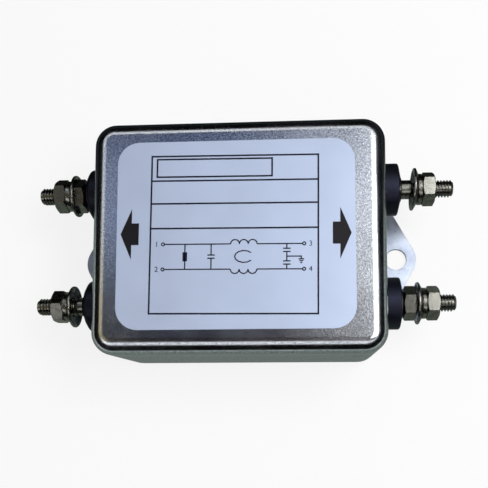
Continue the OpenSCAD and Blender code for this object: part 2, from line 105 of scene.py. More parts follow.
class Terminal:
    """One stud terminal: its axis, and how far out from the end wall each of its pieces reaches."""

    def __init__(self, name):
        self.name = name
        joint = next(j for j in frame["joints"] if j["name"] == f"nut_{name}_turn")
        x, self.y, self.z = joint["pos_m"]
        self.side = math.copysign(1, x)
        self.place = (Matrix.Translation((self.side * CASE_HIGH.x, self.y, self.z))
                      @ Matrix.Rotation(self.side * math.pi / 2, 4, "Y"))

    def reach(self, node):
        """Nearest and farthest distance of a node from the end wall, outwards."""
        ends = [self.side * corner.x - CASE_HIGH.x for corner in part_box(node)]
        return min(ends), max(ends)


TERMINALS = [Terminal(name) for name in ("line_1", "line_2", "load_1", "load_2")]


def a_length(name, description, size):
    """A length in a group of settings, given in millimetres."""
    return FloatProperty(name=name, description=description, default=mm(size), unit="LENGTH")


def an_angle(name, description, degrees):
    """An angle in a group of settings, given in degrees."""
    return FloatProperty(name=name, description=description, default=math.radians(degrees),
                         subtype="ANGLE")


def a_colour(name, description, colour):
    """A colour in a group of settings, given as sRGB hex."""
    return FloatVectorProperty(name=name, description=description, default=linear(colour),
                               subtype="COLOR")


class CaseSettings(bpy.types.PropertyGroup):
    """Sizes and colours of the can and its base plate."""

    wall: a_length("Sheet", "Thickness of the drawn sheet", 0.8)
    corner: a_length("Corner", "Radius of the can's upright corners", 5)
    edge: a_length("Edge", "Radius round the can's top", 3.5)
    hole: a_length("Bushing hole", "Diameter of a bushing's hole", 7.4)
    base: a_length("Base", "Thickness of the base plate", 1)
    ear_root: a_length("Ear root", "Half the width of an ear's root", 19.65)
    ear_tip: a_length("Ear tip", "Radius of an ear's tip", 5.5)
    ear_hole: a_length("Ear hole", "Diameter of an ear's hole", 5.3)
    ear_hole_inset: a_length("Ear hole inset", "From an ear's tip to its hole", 5)
    rim: a_length("Rim", "Thickness of the rim inside the can", 0.8)
    fit: a_length("Fit", "Clearance between the rim and the can", 0.1)
    bright: a_colour("Tin", "Bright tin plate", "#e6eaf0")
    dull: a_colour("Worn tin", "Tin plate between its bright grains", "#a8aeb9")


class LabelSettings(bpy.types.PropertyGroup):
    """Sizes and colours of the printed label."""

    corner: a_length("Corner", "Radius of the label's corners", 4.8)
    ink: a_length("Ink", "Thickness of the printed ink", 0.04)
    frame_line: a_length("Table line", "Width of the table's lines", 0.36)
    thin_line: a_length("Circuit line", "Width of the circuit's lines", 0.26)
    skew: an_angle("Skew", "How far the print is turned on its film", 0.5)
    film: a_colour("Film", "Satin silver film", "#c0cde7")
    print_ink: a_colour("Print", "Dark blue ink", "#161a2c")
    arrow_ink: a_colour("Arrows", "Ink of the two arrows", "#100d12")


class TerminalSettings(bpy.types.PropertyGroup):
    """Sizes of the bushings, studs, nuts and washers."""

    bush: a_length("Bushing", "Diameter of a bushing", 12.1)
    spigot: a_length("Spigot", "Diameter of a bushing's spigot", 7.2)
    nose: a_length("Nose", "Diameter of a bushing's nose", 5.6)
    bush_out: a_length("Bushing cylinder", "How far a bushing's cylinder stands out", 3.7)
    thread: a_length("Thread", "Outside diameter of the thread", 4)
    pitch: a_length("Pitch", "Pitch of the thread", 0.7)
    shank: a_length("Shank", "Diameter of the plain shank", 4.4)
    shank_out: a_length("Shank end", "How far the plain shank reaches out", 7.2)
    tip: a_length("Tip", "Length of the chamfer at a stud's tip", 0.5)
    flats: a_length("Flats", "Width of a nut across its flats", 7)
    chamfer: a_length("Chamfer", "Depth of the chamfer on a nut's corners", 0.4)
    nut_fit: a_length("Nut fit", "Clearance between a thread and its nut", 0.05)
    washer_bore: a_length("Washer bore", "Diameter of a washer's bore", 4.6)
    cup: a_length("Cup washer", "Diameter of a cup washer", 9.8)
    cup_flat: a_length("Cup flat", "Diameter of a cup washer's flat middle", 7)
    cup_sheet: a_length("Cup sheet", "Thickness of a cup washer", 0.5)
    spring: a_length("Spring washer", "Diameter of a spring washer", 7.2)
    tilt: an_angle("Tilt", "How far the loose cup washer leans", 3.5)
    moulding: a_colour("Moulding", "Black moulded bushings", "#0b0b10")
    plating: a_colour("Plating", "Nickel plate on the fasteners", "#96968f")


class CircuitSettings(bpy.types.PropertyGroup):
    """Sizes of the pieces inside the can."""

    ring: a_length("Ring", "Diameter of an insulating ring", 11.2)
    lug: a_length("Lug", "Diameter of a solder lug's eye", 7.6)
    lug_tail: a_length("Lug tail", "Width of a solder lug's tail", 3.4)
    lead: a_length("Lead", "Diameter of a wire from a lug to the board", 1.4)
    wire: a_length("Winding wire", "Diameter of the choke's wire", 1.2)
    turns: IntProperty(name="Turns", description="Turns in each winding", default=8, min=5, max=9)
    wound: an_angle("Wound angle", "Angle of the core that a winding covers", 130)
    core_bore: a_length("Core bore", "Inside diameter of the ring core", 14)
    leg: a_length("Leg", "Diameter of the small parts' legs", 0.8)


class StageSettings(bpy.types.PropertyGroup):
    """The camera and the studio."""

    focal: FloatProperty(name="Focal length", description="Focal length in pixels of the photograph",
                         default=679, min=100)
    size: FloatProperty(name="Photograph", description="Width and height of the photograph in pixels",
                        default=488, min=1)
    lamp: FloatProperty(name="Lamp", description="Power of the main lamp", default=0.66,
                        unit="POWER")
    fill: FloatProperty(name="Fill", description="Strength of the world on the object",
                        default=0.42, min=0)
    floor: a_colour("Floor", "Pale floor", "#f4f4f4")
    floor_white: FloatProperty(name="Floor white", description="How far the seen floor whitens",
                               default=0.82, min=0, max=1)


# Materials


def add_node(tree, kind, settings=None, **inputs):
    """Adds a shader node. Inputs are values or the output sockets that feed them."""
    node = tree.nodes.new(kind)
    for name, value in (settings or {}).items():
        setattr(node, name, value)
    for name, value in inputs.items():
        socket = node.inputs[int(name[1:])] if name[0] == "_" else node.inputs[name.replace("_", " ")]
        if isinstance(value, bpy.types.NodeSocket):
            tree.links.new(value, socket)
        else:
            socket.default_value = value
    return node


def rgba(colour):
    """A linear colour with full alpha."""
    return (*colour[:3], 1)


def surface(name, **values):
    """A new material: its node tree, its shader and the piece's own coordinates."""
    made = bpy.data.materials.new(name)
    made.use_nodes = True
    tree = made.node_tree
    shader = tree.nodes["Principled BSDF"]
    for socket, value in values.items():
        shader.inputs[socket.replace("_", " ")].default_value = value
    return made, tree, shader, add_node(tree, "ShaderNodeTexCoord").outputs["Object"]


def grains(tree, coordinates, size, detail=3.0, roughness=0.55, stretch=None):
    """Noise whose grains are about the given size, stretched along an axis if asked."""
    if stretch:
        coordinates = add_node(tree, "ShaderNodeMapping", Vector=coordinates,
                               Scale=stretch).outputs["Vector"]
    return add_node(tree, "ShaderNodeTexNoise", Vector=coordinates, Scale=1 / size, Detail=detail,
                    Roughness=roughness).outputs["Fac"]


def shade(tree, shader, socket, factor, low, high, start=0.3, end=0.7):
    """Feeds a shader socket with a value or colour that runs from low to high with a factor."""
    if isinstance(low, (int, float)):
        out = add_node(tree, "ShaderNodeMapRange", _0=factor, _1=start, _2=end, _3=low,
                       _4=high).outputs["Result"]
    else:
        ramp = add_node(tree, "ShaderNodeValToRGB", _0=factor)
        for stop, place, colour in zip(ramp.color_ramp.elements, (start, end), (low, high)):
            stop.position, stop.color = place, rgba(colour)
        out = ramp.outputs["Color"]
    tree.links.new(out, shader.inputs[socket])
    return out


def ramped(tree, value, stops, steps="LINEAR"):
    """A colour that changes with a value through stops of (value, colour)."""
    first, last = stops[0][0], stops[-1][0]
    share = add_node(tree, "ShaderNodeMapRange", _0=value, _1=first, _2=last).outputs["Result"]
    ramp = add_node(tree, "ShaderNodeValToRGB", _0=share)
    ramp.color_ramp.interpolation = steps
    for _ in stops[2:]:
        ramp.color_ramp.elements.new(1)
    for stop, (place, colour) in zip(ramp.color_ramp.elements, stops):
        stop.position, stop.color = (place - first) / (last - first), rgba(linear(colour))
    return ramp.outputs["Color"]


def relief(tree, shader, *layers):
    """Adds bumps one over another; each is (height, depth of the relief, strength)."""
    normal = None
    for height, depth, strength in layers:
        inputs = {"Height": height, "Distance": depth, "Strength": strength}
        if normal:
            inputs["Normal"] = normal
        normal = add_node(tree, "ShaderNodeBump", **inputs).outputs["Normal"]
    tree.links.new(normal, shader.inputs["Normal"])


def by_height(tree, height, from_top, to_top, low, high):
    """A value that changes between two depths below the can's top."""
    return add_node(tree, "ShaderNodeMapRange", _0=height, _1=CASE_HIGH.z - from_top,
                    _2=CASE_HIGH.z - to_top, _3=low, _4=high).outputs["Result"]


def tin_plate(settings):
    """Bright tin plate on drawn steel: satin, with a fine crystalline grain and faint draw lines."""
    made, tree, shader, place = surface("bright_tin_plate", Metallic=1.0)
    # Real crystals are finer than a pixel of the photograph, so these are drawn coarser
    grain = grains(tree, place, mm(0.34), detail=4, roughness=0.7)
    cloud = grains(tree, place, mm(9))
    draw = grains(tree, place, mm(0.5), detail=2, stretch=(1, 0.12, 0.12))
    height = add_node(tree, "ShaderNodeSeparateXYZ", Vector=place).outputs["Z"]
    # The die burnishes the rounded edge, the flat top keeps its crystals and the walls are satin
    crystals = by_height(tree, height, mm(0.6), mm(0.02), 0.1, 0.9)
    satin = by_height(tree, height, mm(8), mm(3), 0.24, 0.0)
    shade(tree, shader, "Base Color", grain, settings.dull, settings.bright, 0.36, 0.62)
    gloss = shade(tree, shader, "Roughness", cloud, 0.13, 0.21)
    rough = add_node(tree, "ShaderNodeMath", {"operation": "ADD"}, _0=gloss, _1=satin)
    tree.links.new(rough.outputs["Value"], shader.inputs["Roughness"])
    relief(tree, shader, (draw, mm(0.01), 0.2), (grain, mm(0.022), crystals))
    return made


def zinc_plate():
    """Bright zinc plate on flat sheet: a little bluer and duller than tin, with rolling lines."""
    made, tree, shader, place = surface("bright_zinc_plate", Metallic=1.0)
    rolled = grains(tree, place, mm(0.35), stretch=(0.15, 1, 1))
    cloud = grains(tree, place, mm(6), detail=4)
    shade(tree, shader, "Base Color", cloud, linear("#848c9c"), linear("#aeb6c4"))
    shade(tree, shader, "Roughness", rolled, 0.26, 0.4)
    relief(tree, shader, (rolled, mm(0.012), 0.35))
    return made


def silver_film(settings):
    """Polyester label film, printed matt silver: an even satin with a very fine tooth."""
    made, tree, shader, place = surface("satin_polyester_film", Metallic=0.45, Roughness=0.55)
    tooth = grains(tree, place, mm(0.25), detail=2)
    cloud = grains(tree, place, mm(14), detail=2)
    film = Vector(settings.film)
    shade(tree, shader, "Base Color", cloud, tuple(film * 0.95), tuple(film * 1.04))
    relief(tree, shader, (tooth, mm(0.006), 0.2))
    return made


def printing_ink(name, colour):
    """Screen printing ink: nearly matt, a little uneven in its cover."""
    made, tree, shader, place = surface(name, IOR=1.5, Specular_IOR_Level=0.25)
    cover = grains(tree, place, mm(0.6), detail=4, roughness=0.7)
    thin = tuple(Vector(colour) * 1.4)
    shade(tree, shader, "Base Color", cover, tuple(colour), thin, 0.45, 0.8)
    shade(tree, shader, "Roughness", cover, 0.45, 0.6)
    return made


def black_nylon(settings):
    """Glass-filled nylon, moulded: black with a dull sheen and a fine spark-eroded texture."""
    made, tree, shader, place = surface("glass_filled_nylon", IOR=1.53, Specular_IOR_Level=0.4,
                                        Specular_Tint=rgba(linear("#b8c0f0")))
    texture = grains(tree, place, mm(0.18))
    flow = grains(tree, place, mm(2.5), stretch=(0.4, 1, 1))
    base = Vector(settings.moulding)
    shade(tree, shader, "Base Color", flow, tuple(base), tuple(base * 1.7))
    shade(tree, shader, "Roughness", flow, 0.36, 0.5)
    relief(tree, shader, (texture, mm(0.012), 0.3))
    return made


def nickel_plate(settings):
    """Nickel plate on turned steel: mirror-like, with tool lines and duller, browner patches."""
    made, tree, shader, place = surface("bright_nickel_plate", Metallic=1.0)
    patch = grains(tree, place, mm(1.1), detail=4, roughness=0.65)
    lines = grains(tree, place, mm(0.12), detail=2, stretch=(1, 0.3, 0.3))
    bright = Vector(settings.plating)
    shade(tree, shader, "Base Color", patch, tuple(bright * 0.62), tuple(bright), 0.38, 0.6)
    shade(tree, shader, "Roughness", patch, 0.3, 0.15)
    relief(tree, shader, (lines, mm(0.004), 0.3))
    return made


def moulded_nylon():
    """Unfilled nylon, moulded: a warm milky white that light enters a little."""
    made, tree, shader, place = surface("natural_nylon", IOR=1.53, Subsurface_Weight=0.15,
                                        Subsurface_Scale=mm(1))
    flow = grains(tree, place, mm(5))
    texture = grains(tree, place, mm(0.25), detail=2)
    shade(tree, shader, "Base Color", flow, linear("#ddd8c8"), linear("#ece8dc"))
    shade(tree, shader, "Roughness", flow, 0.42, 0.55)
    relief(tree, shader, (texture, mm(0.01), 0.25))
    return made


def tinned_brass():
    """Brass sheet with hot-dipped tin: silvery, with yellow showing through where it is thin."""
    made, tree, shader, place = surface("tinned_brass", Metallic=1.0)
    thin = grains(tree, place, mm(1.4), detail=5, roughness=0.6)
    shade(tree, shader, "Base Color", thin, linear("#c9a95e"), linear("#d6d3ca"), 0.32, 0.5)
    shade(tree, shader, "Roughness", thin, 0.34, 0.22)
    relief(tree, shader, (thin, mm(0.02), 0.3))
    return made


def soft_solder():
    """Tin solder: bright and slightly wavy where it froze."""
    made, tree, shader, place = surface("soft_solder", Metallic=1.0)
    frozen = grains(tree, place, mm(0.5))
    shade(tree, shader, "Base Color", frozen, linear("#b2b4b8"), linear("#dadce0"))
    shade(tree, shader, "Roughness", frozen, 0.18, 0.34)
    relief(tree, shader, (frozen, mm(0.03), 0.4))
    return made


def enamelled_copper():
    """Copper wire under clear enamel: warm red-brown metal with a glossy amber coat."""
    made, tree, shader, place = surface("enamelled_copper", Metallic=1.0, Coat_Weight=0.6,
                                        Coat_Roughness=0.08)
    streak = grains(tree, place, mm(1.6))
    shade(tree, shader, "Base Color", streak, linear("#a8562c"), linear("#c97a45"))
    shade(tree, shader, "Roughness", streak, 0.2, 0.32)
    relief(tree, shader, (streak, mm(0.01), 0.2))
    return made


def board_laminate():
    """Glass-cloth laminate under green solder resist, with its weave just showing."""
    made, tree, shader, place = surface("solder_resist_on_laminate", IOR=1.55)
    # Real glass cloth is too fine to show, so its threads are drawn coarser, about 1.6 mm wide
    per_radian = mm(0.5)
    radians = 20
    weave = [add_node(tree, "ShaderNodeTexWave", {"bands_direction": axis}, Vector=place,
                      Scale=1 / per_radian / radians, Distortion=0.3).outputs["Fac"]
             for axis in "XY"]
    cloth = add_node(tree, "ShaderNodeMath", {"operation": "MAXIMUM"}, _0=weave[0],
                     _1=weave[1]).outputs["Value"]
    shade(tree, shader, "Base Color", cloth, linear("#27501f"), linear("#35662b"), 0.2, 0.9)
    shade(tree, shader, "Roughness", grains(tree, place, mm(3)), 0.24, 0.36)
    relief(tree, shader, (cloth, mm(0.01), 0.2))
    return made


def coated_ferrite():
    """Ferrite ring with a sprayed epoxy coat: green, satin, with a faint orange peel."""
    made, tree, shader, place = surface("epoxy_coated_ferrite", IOR=1.52)
    peel = grains(tree, place, mm(0.7))
    shade(tree, shader, "Base Color", peel, linear("#1d6b47"), linear("#2b8459"))
    shade(tree, shader, "Roughness", peel, 0.32, 0.44)
    relief(tree, shader, (peel, mm(0.03), 0.35))
    return made


def capacitor_case():
    """Polyester case of a film capacitor: yellow, moulded satin."""
    made, tree, shader, place = surface("yellow_polyester_case", IOR=1.55)
    texture = grains(tree, place, mm(0.3))
    cloud = grains(tree, place, mm(6), detail=2)
    shade(tree, shader, "Base Color", cloud, linear("#d6a413"), linear("#e4b629"))
    shade(tree, shader, "Roughness", texture, 0.38, 0.5)
    relief(tree, shader, (texture, mm(0.015), 0.3))
    return made


def disc_epoxy():
    """Dipped epoxy on a ceramic disc: blue and glossy, thicker in places."""
    made, tree, shader, place = surface("dipped_blue_epoxy", IOR=1.55, Coat_Weight=0.4,
                                        Coat_Roughness=0.1)
    dip = grains(tree, place, mm(1.8))
    shade(tree, shader, "Base Color", dip, linear("#1f3f86"), linear("#2d55a8"))
    shade(tree, shader, "Roughness", dip, 0.2, 0.34)
    relief(tree, shader, (dip, mm(0.05), 0.35))
    return made


def banded_lacquer(middle, bands, width):
    """Tan lacquer on a ceramic rod, with coloured bands painted round it."""
    made, tree, shader, place = surface("banded_tan_lacquer", IOR=1.5)
    along = add_node(tree, "ShaderNodeSeparateXYZ", Vector=place).outputs["X"]
    body = "#c8a878"
    stops = [(middle - width * len(bands), body)]
    for k, paint in enumerate(bands):
        start = middle + width * (2 * k - len(bands) + 0.5)
        stops += [(start, paint), (start + width, body)]
    stops.append((middle + width * len(bands), body))
    tree.links.new(ramped(tree, along, stops, "CONSTANT"), shader.inputs["Base Color"])
    texture = grains(tree, place, mm(0.4))
    shade(tree, shader, "Roughness", texture, 0.32, 0.5)
    relief(tree, shader, (texture, mm(0.02), 0.3))
    return made


# Shapes


def rounded(corners, closed=False):
    """Points of a line whose corners turn on arcs. A corner is its coordinates and its radius."""
    points = []
    for k, (*here, radius) in enumerate(corners):
        here = Vector(here)
        if not radius or (not closed and k in (0, len(corners) - 1)):
            points.append(here)
            continue
        back = (Vector(corners[k - 1][:-1]) - here).normalized()
        on = (Vector(corners[(k + 1) % len(corners)][:-1]) - here).normalized()
        half = back.angle(on) / 2
        centre = here + (back + on).normalized() * radius / math.sin(half)
        start, end = (here + way * radius / math.tan(half) - centre for way in (back, on))
        sweep = start.angle(end)
        for step in range(CORNER + 1):
            share = step / CORNER
            points.append(centre + (start * math.sin((1 - share) * sweep)
                                    + end * math.sin(share * sweep)) / math.sin(sweep))
    return points


def even_angles(start, end, steps):
    """Angles in even steps from one to another, given in degrees."""
    return [math.radians(start + (end - start) * k / steps) for k in range(steps + 1)]


def circle(x, y, radius, steps=ROUND):
    """Points round a circle."""
    turns = [2 * math.pi * k / steps for k in range(steps)]
    return [Vector((x + radius * math.cos(a), y + radius * math.sin(a))) for a in turns]


def rectangle(low_x, low_y, high_x, high_y, radius=0):
    """Points of a rectangle with rounded corners."""
    corners = ((low_x, low_y), (high_x, low_y), (high_x, high_y), (low_x, high_y))
    return rounded([(*corner, radius) for corner in corners], True)


def closed_line(bm, points):
    """A closed line of edges through points."""
    verts = [bm.verts.new(p) for p in points]
    return [bm.edges.new((verts[k - 1], verts[k])) for k in range(len(verts))]


def slab(outlines, low, high):
    """A flat plate between two heights: its outline first, then its holes."""
    bm = bmesh.new()
    edges = [e for line in outlines for e in closed_line(bm, [(p.x, p.y, low) for p in line])]
    bmesh.ops.triangle_fill(bm, use_beauty=True, edges=edges, normal=(0, 0, 1))
    raised = bmesh.ops.extrude_face_region(bm, geom=bm.faces[:])["geom"]
    bmesh.ops.translate(bm, vec=(0, 0, high - low),
                        verts=[v for v in raised if isinstance(v, bmesh.types.BMVert)])
    bmesh.ops.recalc_face_normals(bm, faces=bm.faces)
    return bm


def turned(profile, closed=True, steps=ROUND):
    """A solid turned about z from a profile of radius and height."""
    bm = bmesh.new()
    verts = [bm.verts.new((p[0], 0, p[1])) for p in profile]
    edges = [bm.edges.new(pair) for pair in zip(verts, verts[1:])]
    if closed:
        edges.append(bm.edges.new((verts[-1], verts[0])))
    bmesh.ops.spin(bm, geom=verts + edges, cent=(0, 0, 0), axis=(0, 0, 1), angle=2 * math.pi,
                   steps=steps, use_merge=True)
    bmesh.ops.remove_doubles(bm, verts=bm.verts, dist=WELD)
    bmesh.ops.recalc_face_normals(bm, faces=bm.faces)
    return bm


def threaded(radius, pitch, low, high, tip=0):
    """A right-hand screw thread along z between two heights, its far end chamfered by tip."""
    bm = bmesh.new()
    # The metric profile: 60 degrees between flanks, crests an eighth and roots a quarter wide
    root = radius - pitch * 5 / 16 * math.sqrt(3)
    start = (math.floor(low / pitch) - 1) * pitch
    turns = math.ceil((high - start) / pitch)
    steps = ROUND // 2
    outline = ((root, 0), (root, 1 / 4), (radius, 9 / 16), (radius, 11 / 16), (root, 1))
    verts = [bm.verts.new((r, 0, start + share * pitch)) for r, share in outline]
    edges = [bm.edges.new(pair) for pair in zip(verts, verts[1:])]
    bmesh.ops.spin(bm, geom=verts + edges, cent=(0, 0, 0), axis=(0, 0, 1),
                   dvec=(0, 0, pitch / steps), angle=2 * math.pi * turns, steps=steps * turns)
    bmesh.ops.remove_doubles(bm, verts=bm.verts, dist=THREAD_WELD)
    for height, way in ((low, -1), (high, 1)):
        bmesh.ops.bisect_plane(bm, geom=bm.verts[:] + bm.edges[:] + bm.faces[:],
                               plane_co=(0, 0, height), plane_no=(0, 0, way), clear_outer=True)
    bmesh.ops.holes_fill(bm, edges=[e for e in bm.edges if e.is_boundary], sides=0)
    for vert in bm.verts:
        room = radius - tip + (high - vert.co.z)
        out = vert.co.xy.length
        if tip and out > room:
            vert.co.x, vert.co.y = vert.co.xy * room / out
    bmesh.ops.recalc_face_normals(bm, faces=bm.faces)
    return bm


def tube(points, radius):
    """A round wire along a line of points, closed at both ends."""
    line = bpy.data.curves.new("wire_line", "CURVE")
    line.dimensions, line.bevel_depth, line.bevel_resolution = "3D", radius, 4
    line.use_fill_caps = True
    spline = line.splines.new("POLY")
    spline.points.add(len(points) - 1)
    for knot, point in zip(spline.points, points):
        knot.co = (*point, 1)
    holder = bpy.data.objects.new("wire_line", line)
    bpy.context.scene.collection.objects.link(holder)
    bm = mesh_of(holder)
    bmesh.ops.remove_doubles(bm, verts=bm.verts, dist=WIRE_WELD)
    bmesh.ops.recalc_face_normals(bm, faces=bm.faces)
    return bm


def mesh_of(holder):
    """The finished mesh of a helper object, which is then removed."""
    bpy.context.view_layer.update()
    mesh = bpy.data.meshes.new_from_object(
        holder.evaluated_get(bpy.context.evaluated_depsgraph_get()))
    bm = bmesh.new()
    bm.from_mesh(mesh)
    bpy.data.meshes.remove(mesh)
    bpy.data.objects.remove(holder)
    return bm


def holder_of(bm, name="helper"):
    """A helper object that holds a mesh."""
    mesh = bpy.data.meshes.new(name)
    bm.to_mesh(mesh)
    bm.free()
    holder = bpy.data.objects.new(name, mesh)
    bpy.context.scene.collection.objects.link(holder)
    return holder


def carved(bm, tool, operation="DIFFERENCE"):
    """A mesh cut by, joined to or kept inside another."""
    holder, cutter = holder_of(bm), holder_of(tool, "tool")
    cut = holder.modifiers.new("cut", "BOOLEAN")
    cut.operation, cut.object, cut.solver = operation, cutter, "EXACT"
    result = mesh_of(holder)
    bpy.data.objects.remove(cutter)
    bmesh.ops.remove_doubles(result, verts=result.verts, dist=WELD)
    return result


def together(*parts):
    """Several meshes in one."""
    joined = bmesh.new()
    for part in parts:
        mesh = bpy.data.meshes.new("part")
        part.to_mesh(mesh)
        part.free()
        joined.from_mesh(mesh)
        bpy.data.meshes.remove(mesh)
    return joined


def moved(bm, matrix):
    """A mesh put in its place."""
    bmesh.ops.transform(bm, matrix=matrix, verts=bm.verts)
    return bm


def piece(name, bm, material, body, nodes=(), bevel=0, thickness=0, sharp=35):
    """Makes a mesh a piece of the filter: smooth, with held edges, and on its body."""
    mesh = bpy.data.meshes.new(name)
    bm.to_mesh(mesh)
    bm.free()
    mesh.materials.append(material)
    mesh.shade_smooth()
    mesh.set_sharp_from_angle(angle=math.radians(sharp))
    made = bpy.data.objects.new(name, mesh)
    bpy.context.scene.collection.objects.link(made)
    if thickness:
        wall = made.modifiers.new("sheet", "SOLIDIFY")
        wall.thickness, wall.offset, wall.use_even_offset = thickness, -1, True
    if bevel:
        edge = made.modifiers.new("edges", "BEVEL")
        edge.width, edge.segments, edge.limit_method = bevel, 2, "ANGLE"
        edge.angle_limit = math.radians(sharp)
    made.modifiers.new("flat_faces", "WEIGHTED_NORMAL").keep_sharp = True
    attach(made, body)
    if nodes:
        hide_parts(*nodes)
    return made


# Pieces


# The camera fitted to the photograph: its turn in degrees, where the object's origin lies from it
# in millimetres, and the pixel that its axis meets
CAMERA_TURN = (-5.55, -3.51, 0.26)
CAMERA_SHIFT = (-5.3, 20.35, -176.14)
IMAGE_CENTRE = (270, 341)

# Name, place and size of each lamp in metres, and what its power is divided by
LAMPS = (("main_lamp", (0.17, 0.02, 0.3), (0.22, 0.1), 1),
         ("side_lamp", (-0.4, -0.3, 0.4), (0.3, 0.3), 3))

# Height of the level cards over the table; height, radius and sides of the standing one, all
# lengths in metres
CARD_UP = 0.5
CARD_STANDS = 0.26
CARD_AROUND = 0.3
CARD_STEPS = 96

# The colours of a card that are the same all across it
PLAIN = ((0, "#ffffff"), (1, "#ffffff"))


class FILTER_OT_stage(bpy.types.Operator):
    """Adds the camera, the floor, the lamps and the cards that the bright metal reflects"""

    bl_idname = "filter.stage"
    bl_label = "Studio"

    def execute(self, context):
        settings = context.scene.filter_stage
        self.camera(context, settings)
        self.world(context, settings)
        self.floor(settings)
        self.cards()
        for name, place, size, part in LAMPS:
            lamp = bpy.data.lights.new(name, "AREA")
            lamp.shape, lamp.energy = "RECTANGLE", settings.lamp / part
            lamp.size, lamp.size_y = size
            holder = bpy.data.objects.new(name, lamp)
            holder.location = place
            holder.rotation_euler = (-Vector(place)).to_track_quat("-Z", "Y").to_euler()
            context.scene.collection.objects.link(holder)
        return {"FINISHED"}

    def camera(self, context, settings):
        """Puts the camera where the photograph was taken, by its turn, place and image centre."""
        turn = Vector([math.radians(a) for a in CAMERA_TURN])
        view = Matrix.Rotation(turn.length, 4, turn.normalized())
        view.translation = Vector([mm(d) for d in CAMERA_SHIFT])
        lens = bpy.data.cameras.new("photo_camera")
        lens.sensor_width = 36
        lens.lens = settings.focal * lens.sensor_width / settings.size
        lens.shift_x = (settings.size / 2 - IMAGE_CENTRE[0]) / settings.size
        lens.shift_y = (IMAGE_CENTRE[1] - settings.size / 2) / settings.size
        lens.clip_start = mm(5)
        camera = bpy.data.objects.new("photo_camera", lens)
        camera.matrix_world = view.inverted()
        context.scene.collection.objects.link(camera)
        context.scene.camera = camera
        context.scene.view_settings.view_transform = "Standard"

    def world(self, context, settings):
        """White where it is seen, also in metal, and plain soft light elsewhere."""
        world = bpy.data.worlds.new("studio")
        world.use_nodes = True
        tree = world.node_tree
        seen = seen_directly(tree)
        strength = add_node(tree, "ShaderNodeMapRange", _0=seen, _3=settings.fill, _4=1.0)
        tree.nodes["Background"].inputs["Color"].default_value = (1, 1, 1, 1)
        tree.links.new(strength.outputs["Result"], tree.nodes["Background"].inputs["Strength"])
        context.scene.world = world

    def floor(self, settings):
        """A pale floor that keeps the filter's shadow and whitens towards the camera."""
        bm = bmesh.new()
        bmesh.ops.create_grid(bm, x_segments=1, y_segments=1, size=2)
        floor = holder_of(bm, "floor")
        made, tree, shader, _ = surface("pale_floor", Roughness=0.9, Specular_IOR_Level=0)
        shader.inputs["Base Color"].default_value = rgba(settings.floor)
        white = add_node(tree, "ShaderNodeEmission", Color=(1, 1, 1, 1), Strength=1.0)
        share = add_node(tree, "ShaderNodeMath", {"operation": "MULTIPLY"},
                         _0=seen_directly(tree), _1=settings.floor_white)
        mix = add_node(tree, "ShaderNodeMixShader", _0=share.outputs["Value"],
                       _1=shader.outputs["BSDF"], _2=white.outputs["Emission"])
        tree.links.new(mix.outputs["Shader"], tree.nodes["Material Output"].inputs["Surface"])
        floor.data.materials.append(made)

    def cards(self):
        """What bright metal reflects: graded cards overhead, and dark ones round the table."""
        self.card("overhead_card", flat_card((-0.085, 0.02), (0.155, 0.29)),
                  [(-0.2, "#a3afc8"), (-0.15, "#8190ad"), (-0.05, "#aab7d2"), (0.045, "#f6f8ff"),
                   (0.07, "#ffffff")],
                  [(-0.05, "#4a3d38"), (0.04, "#544c48"), (0.065, "#605e5e"), (0.085, "#8c8c8c"),
                   (0.118, "#ffffff"), (0.16, "#f2f4fa"), (0.19, "#c8cede"), (0.22, "#5c6782"),
                   (0.24, "#27304a"), (0.29, "#27304a"), (0.31, "#5c6782")])
        self.card("left_card", flat_card((-0.495, 0.02), (0.255, 0.29)),
                  [(-0.36, "#ffffff"), (-0.24, "#d0d4da")],
                  [(0, "#b5a985"), (0.1, "#d6caa8"), (0.17, "#eceff6"), (0.3, "#f8faff")])
        self.card("near_card", flat_card((0.24, -0.135), (0.15, 0.15)), PLAIN,
                  [(0, "#443c38"), (1, "#443c38")])
        around = bmesh.new()
        bmesh.ops.create_cone(around, cap_ends=False, segments=CARD_STEPS, radius1=CARD_AROUND,
                              radius2=CARD_AROUND, depth=CARD_STANDS)
        bmesh.ops.translate(around, vec=(0, 0, CARD_STANDS / 2), verts=around.verts)
        self.card("standing_card", around, PLAIN, [(0, "#0a0a0a"), (1, "#0a0a0a")])
        below = bmesh.new()
        bmesh.ops.create_circle(below, cap_ends=True, segments=CARD_STEPS, radius=CARD_AROUND)
        bmesh.ops.translate(below, vec=(0, 0, mm(0.2)), verts=below.verts)
        self.card("table_card", below,
                  [(-0.15, "#ffffff"), (-0.09, "#a8b0aa"), (0.09, "#a8b0aa"), (0.15, "#ffffff")],
                  [(-0.15, "#ffffff"), (-0.08, "#b8bcb8"), (0.025, "#b8bcb8"), (0.035, "#282c2e"),
                   (0.15, "#3c4042")])

    def card(self, name, bm, across, along):
        """A card that only bright pieces reflect, its colours across the table times those along."""
        card = holder_of(bm, name)
        made, tree, _, place = surface(name)
        parts = add_node(tree, "ShaderNodeSeparateXYZ", Vector=place)
        mixed = add_node(tree, "ShaderNodeVectorMath", {"operation": "MULTIPLY"},
                         _0=ramped(tree, parts.outputs["X"], across),
                         _1=ramped(tree, parts.outputs["Y"], along)).outputs["Vector"]
        glow = add_node(tree, "ShaderNodeEmission", Color=mixed, Strength=1.0)
        tree.links.new(glow.outputs["Emission"], tree.nodes["Material Output"].inputs["Surface"])
        card.data.materials.append(made)
        card.visible_camera = card.visible_diffuse = False
        card.visible_transmission = card.visible_shadow = False


